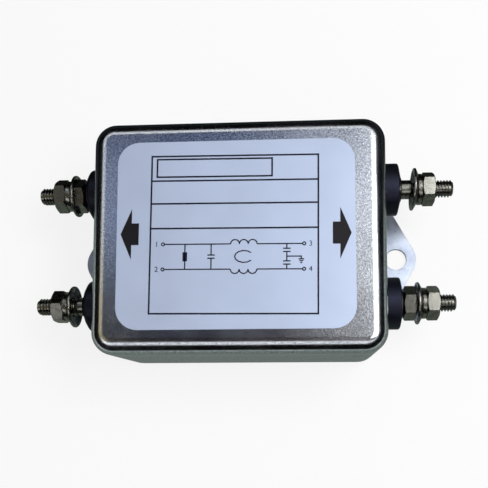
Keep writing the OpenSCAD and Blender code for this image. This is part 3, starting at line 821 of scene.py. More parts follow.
def flat_card(centre, half):
    """A level rectangle over the table from its centre and half its sides."""
    bm = bmesh.new()
    bmesh.ops.create_grid(bm, x_segments=1, y_segments=1, size=1)
    bmesh.ops.scale(bm, vec=(*half, 1), verts=bm.verts)
    bmesh.ops.translate(bm, vec=(*centre, CARD_UP), verts=bm.verts)
    return bm


def seen_directly(tree):
    """1 for rays from the camera and for rays in metal and glass, or else 0."""
    path = add_node(tree, "ShaderNodeLightPath")
    either = add_node(tree, "ShaderNodeMath", {"operation": "MAXIMUM"},
                      _0=path.outputs["Is Camera Ray"], _1=path.outputs["Is Glossy Ray"])
    return add_node(tree, "ShaderNodeMath", {"operation": "MAXIMUM"}, _0=either.outputs["Value"],
                    _1=path.outputs["Is Transmission Ray"]).outputs["Value"]


class FILTER_OT_can(bpy.types.Operator):
    """Adds the drawn can: rounded, open below, with a hole for each bushing"""

    bl_idname = "filter.can"
    bl_label = "Drawn can"

    def execute(self, context):
        settings = context.scene.filter_case
        size = CASE_HIGH - CASE_LOW
        bm = bmesh.new()
        bmesh.ops.create_cube(bm, size=1)
        bmesh.ops.scale(bm, vec=size, verts=bm.verts)
        bmesh.ops.translate(bm, vec=(CASE_HIGH + CASE_LOW) / 2, verts=bm.verts)
        upright = [e for e in bm.edges if abs(e.verts[0].co.z - e.verts[1].co.z) > size.z / 2]
        bmesh.ops.bevel(bm, geom=upright, offset=settings.corner, segments=12, profile=0.5,
                        affect="EDGES", material=-1)
        rim = [e for e in bm.edges if all(v.co.z > CASE_HIGH.z - ON_IT for v in e.verts)]
        bmesh.ops.bevel(bm, geom=rim, offset=settings.edge, segments=10, profile=0.5,
                        affect="EDGES", material=-1)
        floor = [f for f in bm.faces if f.normal.z < -0.9]
        bmesh.ops.delete(bm, geom=floor, context="FACES_ONLY")
        for side in (-1, 1):
            self.pierce(bm, side, settings.hole / 2)
        bmesh.ops.recalc_face_normals(bm, faces=bm.faces)
        piece("drawn_can", bm, tin_plate(settings), HOUSING, ["case_shell"],
              bevel=mm(0.08), thickness=settings.wall)
        return {"FINISHED"}

    def pierce(self, bm, side, radius):
        """Cuts the two bushing holes in an end wall."""
        wall = max((f for f in bm.faces if f.normal.x * side > 0.99), key=lambda f: f.calc_area())
        edges = list(wall.edges)
        bmesh.ops.delete(bm, geom=[wall], context="FACES_ONLY")
        for terminal in TERMINALS:
            if terminal.side == side:
                edges += closed_line(bm, [(side * CASE_HIGH.x, p.x, p.y)
                                          for p in circle(terminal.y, terminal.z, radius)])
        bmesh.ops.triangle_fill(bm, use_beauty=True, edges=edges, normal=(side, 0, 0))


class FILTER_OT_base(bpy.types.Operator):
    """Adds the base plate with its two ears, their holes and the rim that locates the can"""

    bl_idname = "filter.base"
    bl_label = "Base plate"

    def execute(self, context):
        settings = context.scene.filter_case
        tip_centre = BASE_HIGH.x - settings.ear_tip
        run = tip_centre - CASE_HIGH.x
        # The flanks touch the round tip, so their meeting point follows from their slope
        slope = (math.pi / 2 - math.atan2(settings.ear_root, run)
                 + math.asin(settings.ear_tip / math.hypot(settings.ear_root, run)))
        meet = tip_centre + settings.ear_tip / math.cos(slope)
        half_l, half_w, root = CASE_HIGH.x, CASE_HIGH.y, settings.ear_root
        quarter = [(half_l, -root, 0), (meet, 0, settings.ear_tip), (half_l, root, 0),
                   (half_l, half_w, settings.corner), (-half_l, half_w, settings.corner)]
        outline = rounded(quarter + [(-x, -y, r) for x, y, r in quarter], True)
        hole_x = BASE_HIGH.x - settings.ear_hole_inset
        holes = [circle(side * hole_x, 0, settings.ear_hole / 2) for side in (-1, 1)]
        plate = slab([outline, *holes], 0, settings.base)
        inset = settings.wall + settings.fit
        rims = [rectangle(-half_l + d, -half_w + d, half_l - d, half_w - d, settings.corner - d)
                for d in (inset, inset + settings.rim)]
        overlap = mm(0.3)
        rim = slab(rims, settings.base - overlap, BASE_HIGH.z)
        piece("ear_plate", carved(plate, rim, "UNION"), zinc_plate(), HOUSING,
              ["base_plate"], bevel=mm(0.12))
        return {"FINISHED"}


class FILTER_OT_label(bpy.types.Operator):
    """Adds the label: its film, a ruled table, two arrows and a plain circuit diagram"""

    bl_idname = "filter.label"
    bl_label = "Printed label"

    def execute(self, context):
        settings = context.scene.filter_label
        top = LABEL_HIGH.z - settings.ink
        film = slab([rectangle(LABEL_LOW.x, LABEL_LOW.y, LABEL_HIGH.x, LABEL_HIGH.y,
                               settings.corner)], LABEL_LOW.z, top)
        piece("label_film", film, silver_film(settings), HOUSING,
              ["rating_label"], bevel=mm(0.04))
        middle = (LABEL_HIGH + LABEL_LOW) / 2
        place = (Matrix.Translation((middle.x, middle.y, 0))
                 @ Matrix.Rotation(-settings.skew, 4, "Z"))
        lines = self.table(settings) + self.circuit(settings)
        drawn = together(*[slab(shape, top, LABEL_HIGH.z) for shape in lines],
                         *self.numbers(settings, top))
        piece("label_print", moved(drawn, place), printing_ink("navy_ink", settings.print_ink),
              HOUSING)
        arrows = together(*[slab([arrow], top, LABEL_HIGH.z) for arrow in self.arrows()])
        piece("label_arrows", moved(arrows, place),
              printing_ink("black_ink", settings.arrow_ink), HOUSING)
        return {"FINISHED"}

    def table(self, settings):
        """The table's frame, its three rules and the empty box in its first row."""
        line = settings.frame_line
        left, right, top, bottom = mm(-18.6), mm(18.1), mm(17.5), mm(-17.6)
        box_left, box_right, box_top, box_bottom = mm(-17.4), mm(8.1), mm(16.8), mm(12.5)
        rows = (mm(11.8), mm(6.7), mm(1.2))

        def hollow(low_x, low_y, high_x, high_y):
            return [rectangle(low_x, low_y, high_x, high_y),
                    rectangle(low_x + line, low_y + line, high_x - line, high_y - line)]

        half = line / 2
        rules = [[rectangle(left + half, y - half, right - half, y + half)] for y in rows]
        return [hollow(left, bottom, right, top), *rules,
                hollow(box_left, box_bottom, box_right, box_top)]

    def arrows(self):
        """Two broad arrows that point out of the line and load ends."""
        tip, head, end = mm(25), mm(22.6), mm(21)
        wide, narrow = mm(5.6), mm(2.4)
        upper = [(tip, 0), (head, wide), (head, narrow), (end, narrow)]
        arrow = upper + [(x, -y) for x, y in upper[:0:-1]]
        return [[Vector((side * x, y)) for x, y in arrow] for side in (-1, 1)]

    def circuit(self, settings):
        """A plain diagram: resistor, capacitor, two coils on a core and two capacitors to earth."""
        width = settings.thin_line
        high, low = mm(-2.3), mm(-7.8)
        middle = (high + low) / 2
        left, right, end = mm(-15.6), mm(14.9), mm(0.45)
        coil_left, coil_right, loop = mm(-0.9), mm(4.8), mm(0.95)
        across, shunt, earth = mm(-5.1), mm(-10.8), mm(11.2)
        bar_x, bar_y = mm(0.5), mm(1)
        core_at, core_x, core_y = mm(2), mm(2), mm(1.3)
        sign_at, sign_drop, sign_step = mm(14.3), mm(0.6), mm(0.4)
        shapes = []

        def stroke(*points):
            shapes.append([ribbon([Vector(p) for p in points], width)])

        for y, bulge in ((high, 1), (low, -1)):
            for x in (left, right):
                shapes.append([circle(x, y, r, SMALL_ROUND) for r in (end, end - width)])
            stroke((left + end, y), (coil_left, y))
            stroke((coil_right, y), (right - end, y))
            for k in range(3):
                centre = coil_left + loop * (2 * k + 1)
                stroke(*[(centre - loop * math.cos(a), y + bulge * loop * math.sin(a))
                         for a in even_angles(0, 180, 12)])
        stroke((shunt, low), (shunt, high))
        shapes.append([rectangle(shunt - bar_x, middle - bar_y, shunt + bar_x, middle + bar_y)])
        self.capacitor(stroke, across, low, high)
        self.capacitor(stroke, earth, low, middle)
        self.capacitor(stroke, earth, middle, high)
        stroke(*[(core_at + core_x * math.cos(a), middle + core_y * math.sin(a))
                 for a in even_angles(40, 320, 10)])
        stroke((earth, middle), (sign_at, middle), (sign_at, middle - sign_drop))
        for k, half in enumerate((mm(0.6), mm(0.4), mm(0.2))):
            y = middle - sign_drop - sign_step * k
            stroke((sign_at - half, y), (sign_at + half, y))
        return shapes

    def capacitor(self, stroke, x, low, high):
        """Two plates halfway along an upright wire."""
        middle = (low + high) / 2
        plate, gap = mm(0.8), mm(0.35)
        for way, end in ((-1, low), (1, high)):
            stroke((x, end), (x, middle + way * gap))
            stroke((x - plate, middle + way * gap), (x + plate, middle + way * gap))

    def numbers(self, settings, top):
        """Plain numbers beside the circuit's four ends."""
        made = []
        left, right, high, low, tall = mm(-17.4), mm(15.9), mm(-2.8), mm(-8.3), mm(1.6)
        for number, (x, y) in enumerate(((left, high), (left, low), (right, high), (right, low)), 1):
            text = bpy.data.curves.new("number", "FONT")
            text.body, text.size, text.extrude = str(number), tall, settings.ink / 2
            holder = bpy.data.objects.new("number", text)
            bpy.context.scene.collection.objects.link(holder)
            made.append(moved(mesh_of(holder),
                              Matrix.Translation((x, y, top + settings.ink / 2))))
        return made


def ribbon(points, width):
    """The outline of a line of even width through points."""
    sides = ([], [])
    for k, here in enumerate(points):
        back = here - points[k - 1] if k else None
        on = points[k + 1] - here if k + 1 < len(points) else None
        ways = [way.normalized() for way in (back, on) if way is not None]
        along = sum(ways, Vector((0, 0))).normalized()
        spread = width / 2 / max(0.5, along.dot(ways[0]))
        across = Vector((-along.y, along.x)) * spread
        sides[0].append(here + across)
        sides[1].append(here - across)
    return sides[0] + sides[1][::-1]


class FILTER_OT_bushings(bpy.types.Operator):
    """Adds the four moulded bushings, with a trumpet nose on the line side"""

    bl_idname = "filter.bushings"
    bl_label = "Bushings"

    def execute(self, context):
        settings = context.scene.filter_terminals
        material = black_nylon(settings)
        for terminal in TERMINALS:
            name = f"bushing_{terminal.name}"
            inner, nose = terminal.reach(name)
            profile = self.profile(settings, terminal.side, inner, nose)
            bm = moved(turned(rounded(profile, True)), terminal.place)
            piece(f"moulded_{name}", bm, material, HOUSING, [name], sharp=50)
        return {"FINISHED"}

    def profile(self, settings, side, inner, nose):
        """Half section of a bushing, from the inside end of its spigot to its nose."""
        bore, spigot, body = settings.shank / 2 + STUD_FIT, settings.spigot / 2, settings.bush / 2
        out, tip = settings.bush_out, settings.nose / 2
        fine, foot = mm(0.2), mm(4.45)
        start = [(bore, inner, 0), (spigot, inner, fine), (spigot, 0, 0), (body, 0, fine)]
        if side < 0:
            neck, neck_foot, drop = mm(3), mm(4.75), mm(0.1)
            end = [(body, out - drop, mm(0.7)), (mm(4.7), foot, mm(0.6)),
                   (neck, neck_foot, mm(0.7)), (tip, nose, mm(0.15))]
        else:
            end = [(body, out, mm(0.4)), (tip + fine, foot, fine), (tip, nose, mm(0.05))]
        return start + end + [(bore, nose, 0)]


class FILTER_OT_studs(bpy.types.Operator):
    """Adds the four studs, with a real screw thread past the plain shank"""

    bl_idname = "filter.studs"
    bl_label = "Studs"

    def execute(self, context):
        settings = context.scene.filter_terminals
        material = nickel_plate(settings)
        for terminal in TERMINALS:
            name = f"stud_{terminal.name}"
            back, tip = terminal.reach(name)
            lug_back, _ = terminal.reach(f"solder_lug_{terminal.name}")
            radius, shank = settings.thread / 2, settings.shank / 2
            head = slab([hexagon(settings.flats, mm(0.2), 0)], back, lug_back)
            cone, cone_tip, in_head = mm(0.4), mm(1.7), mm(0.4)
            start, end = back + in_head, settings.shank_out
            rod = turned(rounded([(0, start, 0), (shank, start, 0), (shank, end - cone, mm(0.15)),
                                  (cone_tip, end, 0), (0, end, 0)]), closed=False)
            thread = threaded(radius, settings.pitch, end - cone, tip, settings.tip)
            body = carved(carved(thread, rod, "UNION"), head, "UNION")
            piece(f"threaded_{name}", moved(body, terminal.place), material, HOUSING,
                  [name], sharp=32)
        return {"FINISHED"}


def hexagon(flats, radius, turn):
    """Points of a hexagon with rounded corners, its first corner at an angle in degrees."""
    corner = flats / 2 / math.cos(math.pi / 6)
    angles = [math.radians(turn + 60 * k) for k in range(6)]
    return rounded([(corner * math.cos(a), corner * math.sin(a), radius) for a in angles], True)


# How each nut happens to be turned in the photograph, in degrees, and the washer that leans
NUT_TURN = {"line_1": 23, "line_2": 4, "load_1": 33, "load_2": 32}
CLAMP_TURN = {"line_1": 12, "load_2": 40}
LEANING = "load_1"


def nut_blank(settings, low, high, bore, turn):
    """A hexagon nut with turned-off corners and a plain, countersunk bore."""
    face_inset, sink, past = mm(0.15), mm(0.35), mm(1)
    corner = settings.flats / 2 / math.cos(math.pi / 6)
    face = settings.flats / 2 - face_inset
    outside = corner + settings.chamfer / 2
    drop = (outside - face) * settings.chamfer / (corner - face)
    half = [(bore, low + sink, 0), (bore + sink, low, 0), (face, low, mm(0.1)),
            (outside, low + drop, 0)]
    other = [(r, low + high - z, radius) for r, z, radius in half[::-1]]
    lathe = turned(rounded(half + other, True))
    bar = slab([hexagon(settings.flats, mm(0.12), turn)], low - past, high + past)
    return carved(lathe, bar, "INTERSECT")


class FILTER_OT_nuts(bpy.types.Operator):
    """Adds the four outer nuts, cut with the studs' own thread, and the two clamp nuts"""

    bl_idname = "filter.nuts"
    bl_label = "Nuts"

    def execute(self, context):
        settings = context.scene.filter_terminals
        material = nickel_plate(settings)
        thread, pitch = settings.thread / 2, settings.pitch
        minor = thread - mm(0.33)
        clamps = []
        for terminal in TERMINALS:
            name = f"nut_{terminal.name}"
            low, high = terminal.reach(name)
            blank = nut_blank(settings, low, high, minor, NUT_TURN[terminal.name])
            tap = threaded(thread + settings.nut_fit, pitch, low - pitch, high + pitch)
            piece(f"hexagon_{name}", moved(carved(blank, tap), terminal.place), material,
                  NUT + terminal.name, [name], sharp=30)
            if terminal.name in CLAMP_TURN:
                _, low = terminal.reach(f"bushing_{terminal.name}")
                _, high = terminal.reach("clamp_nuts")
                bore = settings.shank / 2 + settings.nut_fit
                blank = nut_blank(settings, low, high, bore, CLAMP_TURN[terminal.name])
                clamps.append(moved(blank, terminal.place))
        piece("hexagon_clamp_nuts", together(*clamps), material, HOUSING,
              ["clamp_nuts"], sharp=30)
        return {"FINISHED"}


class FILTER_OT_washers(bpy.types.Operator):
    """Adds the cup washers, rims bent towards the can, and the split spring washers"""

    bl_idname = "filter.washers"
    bl_label = "Washers"

    def execute(self, context):
        settings = context.scene.filter_terminals
        material = nickel_plate(settings)
        for terminal in TERMINALS:
            body = WASHERS + terminal.name
            name = f"cup_washer_{terminal.name}"
            rim, face = terminal.reach(name)
            cup = turned(rounded(self.cup(settings, rim, face), True))
            if terminal.name == LEANING:
                lean = Matrix.Rotation(settings.tilt, 4, "X")
                seat = Matrix.Translation((0, 0, face - mm(0.15)))
                cup = moved(cup, seat @ lean @ seat.inverted())
            piece(f"bent_{name}", moved(cup, terminal.place), material, body,
                  [name], sharp=50)
            name = f"spring_washer_{terminal.name}"
            spring = self.spring(settings, *terminal.reach(name))
            piece(f"split_{name}", moved(spring, terminal.place), material, body,
                  [name], bevel=mm(0.08), sharp=40)
        return {"FINISHED"}

    def cup(self, settings, rim, face):
        """Half section of a cup washer: flat in the middle and flared to its rim."""
        bore, flat, edge = (d / 2 for d in (settings.washer_bore, settings.cup_flat, settings.cup))
        sheet, lip, bend_in, bend_out = settings.cup_sheet, mm(0.45), mm(0.2), mm(0.1)
        return [(bore, face - sheet, mm(0.05)), (flat - bend_in, face - sheet, mm(0.6)),
                (edge - lip, rim, mm(0.12)), (edge, rim, mm(0.2)), (edge, rim + sheet, mm(0.2)),
                (flat + bend_out, face, mm(0.9)), (bore, face, mm(0.08))]

    def spring(self, settings, low, high):
        """A split ring whose ends stand a little apart, cut on a slant."""
        bore, edge = settings.washer_bore / 2, settings.spring / 2
        rise, split, cut = mm(0.12), math.radians(11), math.radians(20)
        bm = bmesh.new()
        verts = [bm.verts.new((r, 0, z)) for r, z in
                 ((bore, low), (edge, low), (edge, high - rise), (bore, high - rise))]
        face = bm.faces.new(verts)
        bmesh.ops.spin(bm, geom=[face, *face.edges, *verts], cent=(0, 0, 0), axis=(0, 0, 1),
                       dvec=(0, 0, rise / ROUND), angle=2 * math.pi - split, steps=ROUND)
        slant = math.tan(cut) / ((bore + edge) / 2)
        for vert in bm.verts:
            vert.co = Matrix.Rotation((vert.co.z - low) * slant, 3, "Z") @ vert.co
        bmesh.ops.recalc_face_normals(bm, faces=bm.faces)
        return moved(bm, Matrix.Rotation(math.pi / 2 + split / 2, 4, "Z"))


class FILTER_OT_wall_parts(bpy.types.Operator):
    """Adds the insulating rings, solder lugs and wires behind the end walls"""

    bl_idname = "filter.wall_parts"
    bl_label = "Rings, lugs and wires"

    def execute(self, context):
        settings = context.scene.filter_circuit
        hole = context.scene.filter_case.hole / 2
        shank = context.scene.filter_terminals.shank / 2 + STUD_FIT
        wire, ring = settings.lead / 2, settings.ring / 2
        nylon, brass, copper = moulded_nylon(), tinned_brass(), enamelled_copper()
        for terminal in TERMINALS:
            name = f"inner_ring_{terminal.name}"
            low, high = terminal.reach(name)
            profile = [(hole, low, mm(0.1)), (ring, low, mm(0.25)), (ring, high, mm(0.1)),
                       (hole, high, mm(0.1))]
            piece(f"insulating_{name}", moved(turned(rounded(profile, True)), terminal.place),
                  nylon, HOUSING, [name], sharp=50)
            name = f"solder_lug_{terminal.name}"
            low, high = terminal.reach(name)
            tail = terminal.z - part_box(name)[0].z
            lead_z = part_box(f"lead_{terminal.name}")[1].z - wire
            lug = slab([self.eye(settings, tail), circle(0, 0, shank),
                        circle(terminal.z - lead_z, 0, wire + INNER_FIT, ROUND // 2)], low, high)
            down = Matrix.Rotation(math.pi if terminal.side < 0 else 0, 4, "Z")
            piece(f"stamped_{name}", moved(lug, terminal.place @ down), brass, HOUSING,
                  [name], bevel=mm(0.06))
            self.lead(wire, terminal, lead_z, copper)
        return {"FINISHED"}

    def eye(self, settings, tail):
        """Outline of a lug: a round eye that runs into a tail with a rounded end."""
        radius, half, end = settings.lug / 2, settings.lug_tail / 2, mm(0.8)
        start = math.degrees(math.asin(half / radius))
        eye = [Vector((radius * math.cos(a), radius * math.sin(a)))
               for a in even_angles(start, 360 - start, 40)]
        return eye + rounded([(0, -half, 0), (tail, -half, end), (tail, half, end),
                              (0, half, 0)])[1:-1]

    def lead(self, radius, terminal, lead_z, material):
        """The wire from a lug, bent down through the board."""
        name = f"lead_{terminal.name}"
        low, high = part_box(name)
        inner, outer = sorted((low.x, high.x), key=abs)
        inner += terminal.side * radius
        corners = [(outer, terminal.y, lead_z, 0), (inner, terminal.y, lead_z, mm(1.5)),
                   (inner, terminal.y, low.z, 0)]
        piece(f"copper_{name}", tube(rounded(corners), radius), material, HOUSING,
              [name], sharp=60)


class FILTER_OT_board(bpy.types.Operator):
    """Adds the insulating tray and the circuit board that its posts carry"""

    bl_idname = "filter.board"
    bl_label = "Tray and board"

    # Radii of a post and of the pin on it
    post = mm(2)
    pin = mm(1)

    def execute(self, context):
        settings = context.scene.filter_circuit
        tab_low, tab_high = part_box("earth_tab")
        self.tray(rectangle(tab_low.x - INNER_FIT, tab_low.y - INNER_FIT, tab_high.x + INNER_FIT,
                            tab_high.y + INNER_FIT))
        # The tab's upright part stands in the outer edge of its box
        low, high, sheet = BOARD_LOW, BOARD_HIGH, mm(0.5)
        slot = rectangle(tab_high.x - sheet - INNER_FIT, tab_low.y - INNER_FIT,
                         tab_high.x + INNER_FIT, tab_high.y + INNER_FIT)
        pins = [(x, y, self.pin) for x, y in self.posts()]
        wires = [(x, y, radius) for x, y, radius, _ in legs(settings)]
        holes = [circle(x, y, radius + INNER_FIT, SMALL_ROUND) for x, y, radius in pins + wires]
        board = slab([rectangle(low.x, low.y, high.x, high.y, mm(1)), *holes, slot], low.z, high.z)
        piece("laminate_board", board, board_laminate(), HOUSING,
              ["circuit_board"], bevel=mm(0.05))
        return {"FINISHED"}

    def posts(self):
        """Where the tray's four posts carry the board."""
        inset = mm(3.6)
        return [(x * (BOARD_HIGH.x - inset), y * (BOARD_HIGH.y - inset))
                for x in (-1, 1) for y in (-1, 1)]

    def tray(self, notch):
        """A shallow tray with a post and a pin near each corner, cut out for the earth tab."""
        low, high = TRAY_LOW, TRAY_HIGH
        sheet, rim, corner, root = mm(0.8), mm(6.2), mm(3.2), mm(0.3)
        shapes = [rectangle(low.x + d, low.y + d, high.x - d, high.y - d, corner - d)
                  for d in (0, sheet)]
        body = carved(slab([shapes[0], notch], low.z, low.z + sheet),
                      slab(shapes, low.z, rim), "UNION")
        for x, y in self.posts():
            half = [(0, low.z + root, 0), (self.post, low.z + root, 0),
                    (self.post, BOARD_LOW.z, mm(0.15)), (self.pin, BOARD_LOW.z, 0),
                    (self.pin, high.z, mm(0.25)), (0, high.z, 0)]
            post = turned(rounded(half), closed=False, steps=ROUND // 2)
            body = carved(body, moved(post, Matrix.Translation((x, y, 0))), "UNION")
        piece("moulded_tray", body, moulded_nylon(), HOUSING, ["board_tray"],
              bevel=mm(0.08), sharp=40)


# The two disc capacitors, and the two windings with the side of the core that each is on
DISCS = ("disc_capacitor_1", "disc_capacitor_2")
WINDINGS = {"winding_1": 1, "winding_2": -1}


def legs(settings):
    """Where each wire or leg passes the board, its radius and its node."""
    found = []
    wire, leg, winding = settings.lead / 2, settings.leg / 2, mm(0.5)
    film_inset, disc_pitch = mm(1.5), mm(6)
    for terminal in TERMINALS:
        name = f"lead_{terminal.name}"
        inner = min(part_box(name), key=lambda corner: abs(corner.x)).x
        found.append((inner + terminal.side * wire, terminal.y, wire, name))
    low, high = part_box("film_capacitor")
    for y in (low.y + film_inset, high.y - film_inset):
        found.append(((low.x + high.x) / 2, y, leg, "film_capacitor"))
    for name in DISCS:
        low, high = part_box(name)
        middle = (low + high) / 2
        for way in (-1, 1):
            found.append((middle.x, middle.y + way * disc_pitch / 2, leg, name))
    low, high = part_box("bleeder_resistor")
    for x in (low.x + leg, high.x - leg):
        found.append((x, (low.y + high.y) / 2, leg, "bleeder_resistor"))
    for name, row in WINDINGS.items():
        for end in (-1, 1):
            place = winding_leg(settings, row, end)
            found.append((place.x, place.y, winding, name))
    return found


def winding_leg(settings, row, end):
    """Where a leg of a winding passes the board."""
    core_low, core_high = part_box("choke_core")
    middle = (core_low + core_high) / 2
    radius = (core_high.x - core_low.x) / 2 + INNER_FIT + settings.wire / 2
    half = settings.wound * (1 - 1 / settings.turns) / 2
    angle = row * (math.pi / 2 - end * half)
    return Vector((middle.x + radius * math.cos(angle), middle.y + radius * math.sin(angle)))


class FILTER_OT_choke(bpy.types.Operator):
    """Adds the common mode choke: its ring core, foot and wall, and two wound coils"""

    bl_idname = "filter.choke"
    bl_label = "Choke"

    def execute(self, context):
        settings = context.scene.filter_circuit
        low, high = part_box("choke_core")
        centre = (low + high) / 2
        outer, inner = (high.x - low.x) / 2, settings.core_bore / 2
        half, edge = (high.z - low.z) / 2, mm(1)
        section = rounded([(inner, -half, edge), (outer, -half, edge), (outer, half, edge),
                           (inner, half, edge)], True)
        core = moved(turned(section, steps=96), Matrix.Translation(centre))
        piece("coated_ring_core", core, coated_ferrite(), HOUSING,
              ["choke_core"], sharp=50)
        self.divider(centre)
        copper = enamelled_copper()
        for name, row in WINDINGS.items():
            path = self.winding(settings, centre, outer, inner, half, row)
            piece(f"wound_{name}", tube(path, settings.wire / 2), copper, HOUSING,
                  [name], sharp=60)
        return {"FINISHED"}

    def divider(self, centre):
        """The choke's round foot and the wall that keeps its windings apart."""
        low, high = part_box("choke_divider")
        foot, edge, thick = (high.x - low.x) / 2, mm(0.2), mm(1)
        half_long, half_thick = mm(5.7), mm(0.75)
        top = low.z + thick
        disc = turned(rounded([(0, low.z, 0), (foot, low.z, edge), (foot, top, edge),
                               (0, top, 0)]), closed=False)
        wall = slab([rectangle(-half_long, -half_thick, half_long, half_thick, mm(0.3))],
                    low.z + edge, high.z)
        bm = moved(carved(disc, wall, "UNION"), Matrix.Translation((centre.x, centre.y, 0)))
        piece("moulded_divider", bm, moulded_nylon(), HOUSING,
              ["choke_divider"], bevel=mm(0.1), sharp=40)

    def winding(self, settings, centre, outer, inner, half, row):
        """The line of a wire that winds round the core's section and stands in the board."""
        gap, bend = INNER_FIT + settings.wire / 2, mm(1.7)
        far, near, up = outer + gap, inner - gap, half + gap
        loop = rounded([(far, up, bend), (near, up, bend), (near, -up, bend), (far, -up, bend)],
                       True)
        wound = settings.wound * (1 - 1 / settings.turns)
        start = row * math.pi / 2 - wound / 2
        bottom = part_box("winding_1")[0].z
        # The last turn stops under the core, three quarters of the way round
        total = (settings.turns - 1) * len(loop) + 3 * len(loop) // 4

        def at(radius, angle, z):
            return Vector((centre.x + radius * math.cos(angle),
                           centre.y + radius * math.sin(angle), z))

        points = []
        for k in range(total):
            radius, height = loop[k % len(loop)]
            points.append(at(radius, start + wound * k / total, centre.z + height))
        knee = centre.z - up - mm(1)
        return [at(far, start, bottom), at(far, start, centre.z), *points,
                at(far, start + wound, knee), at(far, start + wound, bottom)]


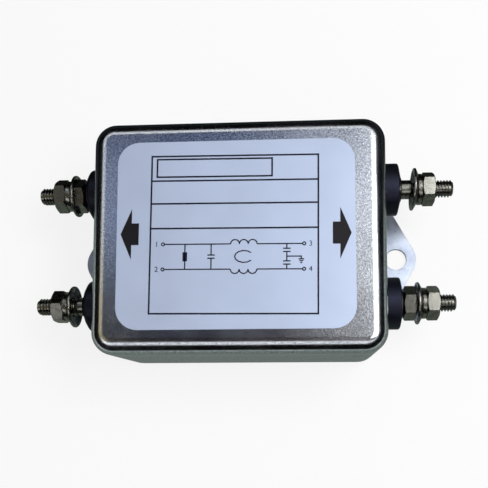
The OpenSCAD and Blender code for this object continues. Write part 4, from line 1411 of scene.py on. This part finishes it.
class FILTER_OT_small_parts(bpy.types.Operator):
    """Adds the capacitors, the resistor, the earth tab and the solder joints"""

    bl_idname = "filter.small_parts"
    bl_label = "Capacitors, resistor and tab"

    def execute(self, context):
        settings = context.scene.filter_circuit
        self.film(settings)
        for name in DISCS:
            self.disc(settings, name)
        self.resistor(settings)
        self.tab()
        self.joints(settings)
        return {"FINISHED"}

    def film(self, settings):
        """A moulded box with softened edges on two legs."""
        low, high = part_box("film_capacitor")
        body = slab([rectangle(low.x, low.y, high.x, high.y, mm(0.8))], BOARD_HIGH.z, high.z)
        top = [e for e in body.edges if all(v.co.z > high.z - ON_IT for v in e.verts)
               and len(e.link_faces) == 2 and e.calc_face_angle(0) > 1]
        bmesh.ops.bevel(body, geom=top, offset=mm(0.5), segments=4, profile=0.5, affect="EDGES",
                        material=-1)
        in_body = BOARD_HIGH.z + mm(0.5)
        parts = [body] + [tube([(x, y, low.z), (x, y, in_body)], radius)
                          for x, y, radius, node in legs(settings) if node == "film_capacitor"]
        piece("moulded_film_capacitor", together(*parts), capacitor_case(), HOUSING,
              ["film_capacitor"])

    def disc(self, settings, name):
        """A dipped ceramic disc, its coat drawn down over the legs."""
        low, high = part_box(name)
        middle = (low + high) / 2
        radius, half = (high.y - low.y) / 2, (high.x - low.x) / 2
        flat, side, turn = radius * 0.72, half * 0.35, half * 0.4
        profile = rounded([(0, half, 0), (flat, half, radius * 0.5), (radius, side, turn),
                           (radius, -side, turn), (flat, -half, radius * 0.5), (0, -half, 0)])
        parts = [moved(turned(profile, closed=False),
                       Matrix.Translation((middle.x, middle.y, high.z - radius))
                       @ Matrix.Rotation(math.pi / 2, 4, "Y"))]
        end, skin, broad = BOARD_HIGH.z + mm(0.9), mm(0.15), mm(1.2)
        for x, y, leg, node in legs(settings):
            if node == name:
                parts.append(tube([(x, y, low.z), (x, y, high.z - radius)], leg))
                coat = [(0, end), (leg, end), (leg + skin, end + mm(0.2)),
                        (broad, end + mm(1.7)), (0, end + mm(1.9))]
                parts.append(moved(turned(coat, closed=False, steps=SMALL_ROUND),
                                   Matrix.Translation((x, y, 0))))
        piece(f"dipped_{name}", together(*parts), disc_epoxy(), HOUSING, [name],
              sharp=50)

    def resistor(self, settings):
        """A lacquered rod with swollen ends, coloured bands and bent legs."""
        name = "bleeder_resistor"
        low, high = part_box(name)
        middle = (low + high) / 2
        half, neck, end = mm(4.5), mm(1.5), mm(1.8)
        axis = high.z - end
        cap, waist, turn = half - mm(1.6), half - mm(2.2), mm(0.8)
        right = [(0, half, 0), (end, half, mm(0.6)), (end, cap, turn), (neck, waist, turn)]
        profile = rounded(right + [(r, -x, radius) for r, x, radius in right[::-1]])
        rod = moved(turned(profile, closed=False), Matrix.Translation((middle.x, middle.y, axis))
                    @ Matrix.Rotation(math.pi / 2, 4, "Y"))
        parts, in_cap = [rod], mm(0.3)
        for side in (-1, 1):
            x = middle.x + side * ((high.x - low.x) / 2 - settings.leg / 2)
            corners = [(middle.x + side * (half - in_cap), middle.y, axis, 0),
                       (x, middle.y, axis, mm(1)), (x, middle.y, low.z, 0)]
            parts.append(tube(rounded(corners), settings.leg / 2))
        paints = ("#5a3420", "#18181a", "#3c7a3a", "#b08a30")
        lacquer = banded_lacquer(middle.x, paints, width=mm(0.9))
        piece("lacquered_resistor", together(*parts), lacquer, HOUSING, [name],
              sharp=50)

    def tab(self):
        """A strip of brass bent up from the base plate through the board."""
        low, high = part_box("earth_tab")
        sheet, end = mm(0.5), mm(0.1)
        corners = [(low.x, low.z, 0), (high.x, low.z, mm(0.7)), (high.x, high.z, end),
                   (high.x - sheet, high.z, end), (high.x - sheet, low.z + sheet, mm(0.2)),
                   (low.x, low.z + sheet, 0)]
        strip = slab([rounded(corners, True)], -high.y, -low.y)
        piece("bent_earth_tab", moved(strip, Matrix.Rotation(math.pi / 2, 4, "X")),
              tinned_brass(), HOUSING, ["earth_tab"], bevel=mm(0.05))

    def joints(self, settings):
        """A cone of solder round each leg under the board, and round each wire in its lug."""
        cones = []
        base = BOARD_LOW.z - mm(0.02)
        tip, knee = BOARD_LOW.z - mm(0.55), BOARD_LOW.z - mm(0.3)
        for x, y, radius, _ in legs(settings):
            profile = rounded([(radius, tip, 0), (radius + mm(0.2), knee, mm(0.3)),
                               (radius + mm(0.55), base, 0), (radius, base, 0)])
            cones.append(moved(turned(profile, steps=SMALL_ROUND),
                               Matrix.Translation((x, y, 0))))
        radius = settings.lead / 2
        for terminal in TERMINALS:
            lead_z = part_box(f"lead_{terminal.name}")[1].z - radius
            down = Matrix.Translation((0, 0, lead_z - terminal.z)) @ terminal.place
            for face, way in zip(terminal.reach(f"solder_lug_{terminal.name}"), (-1, 1)):
                profile = [(radius, face + way * mm(0.6)),
                           (radius + mm(0.15), face + way * mm(0.35)),
                           (radius + mm(0.7), face), (radius, face)]
                cones.append(moved(turned(profile, steps=SMALL_ROUND), down))
        piece("solder_joints", together(*cones), soft_solder(), HOUSING, sharp=60)


OPERATORS = (FILTER_OT_stage, FILTER_OT_can, FILTER_OT_base, FILTER_OT_label, FILTER_OT_bushings,
             FILTER_OT_studs, FILTER_OT_nuts, FILTER_OT_washers, FILTER_OT_wall_parts,
             FILTER_OT_board, FILTER_OT_choke, FILTER_OT_small_parts)
SETTINGS = {"filter_case": CaseSettings, "filter_label": LabelSettings,
            "filter_terminals": TerminalSettings, "filter_circuit": CircuitSettings,
            "filter_stage": StageSettings}


class FILTER_PT_panel(bpy.types.Panel):
    """Lists the filter's pieces in the 3D view's sidebar"""

    bl_idname = "FILTER_PT_panel"
    bl_label = "Power line filter"
    bl_space_type = "VIEW_3D"
    bl_region_type = "UI"
    bl_category = "Filter"

    def draw(self, context):
        for operator in OPERATORS:
            self.layout.operator(operator.bl_idname)


def register():
    for made in (*SETTINGS.values(), *OPERATORS, FILTER_PT_panel):
        bpy.utils.register_class(made)
    for name, group in SETTINGS.items():
        setattr(bpy.types.Scene, name, PointerProperty(type=group))


def unregister():
    for name in SETTINGS:
        delattr(bpy.types.Scene, name)
    for made in (FILTER_PT_panel, *OPERATORS, *SETTINGS.values()):
        bpy.utils.unregister_class(made)


def main():
    register()
    for operator in OPERATORS:
        group, name = operator.bl_idname.split(".")
        getattr(getattr(bpy.ops, group), name)()


if __name__ == "__main__":
    main()
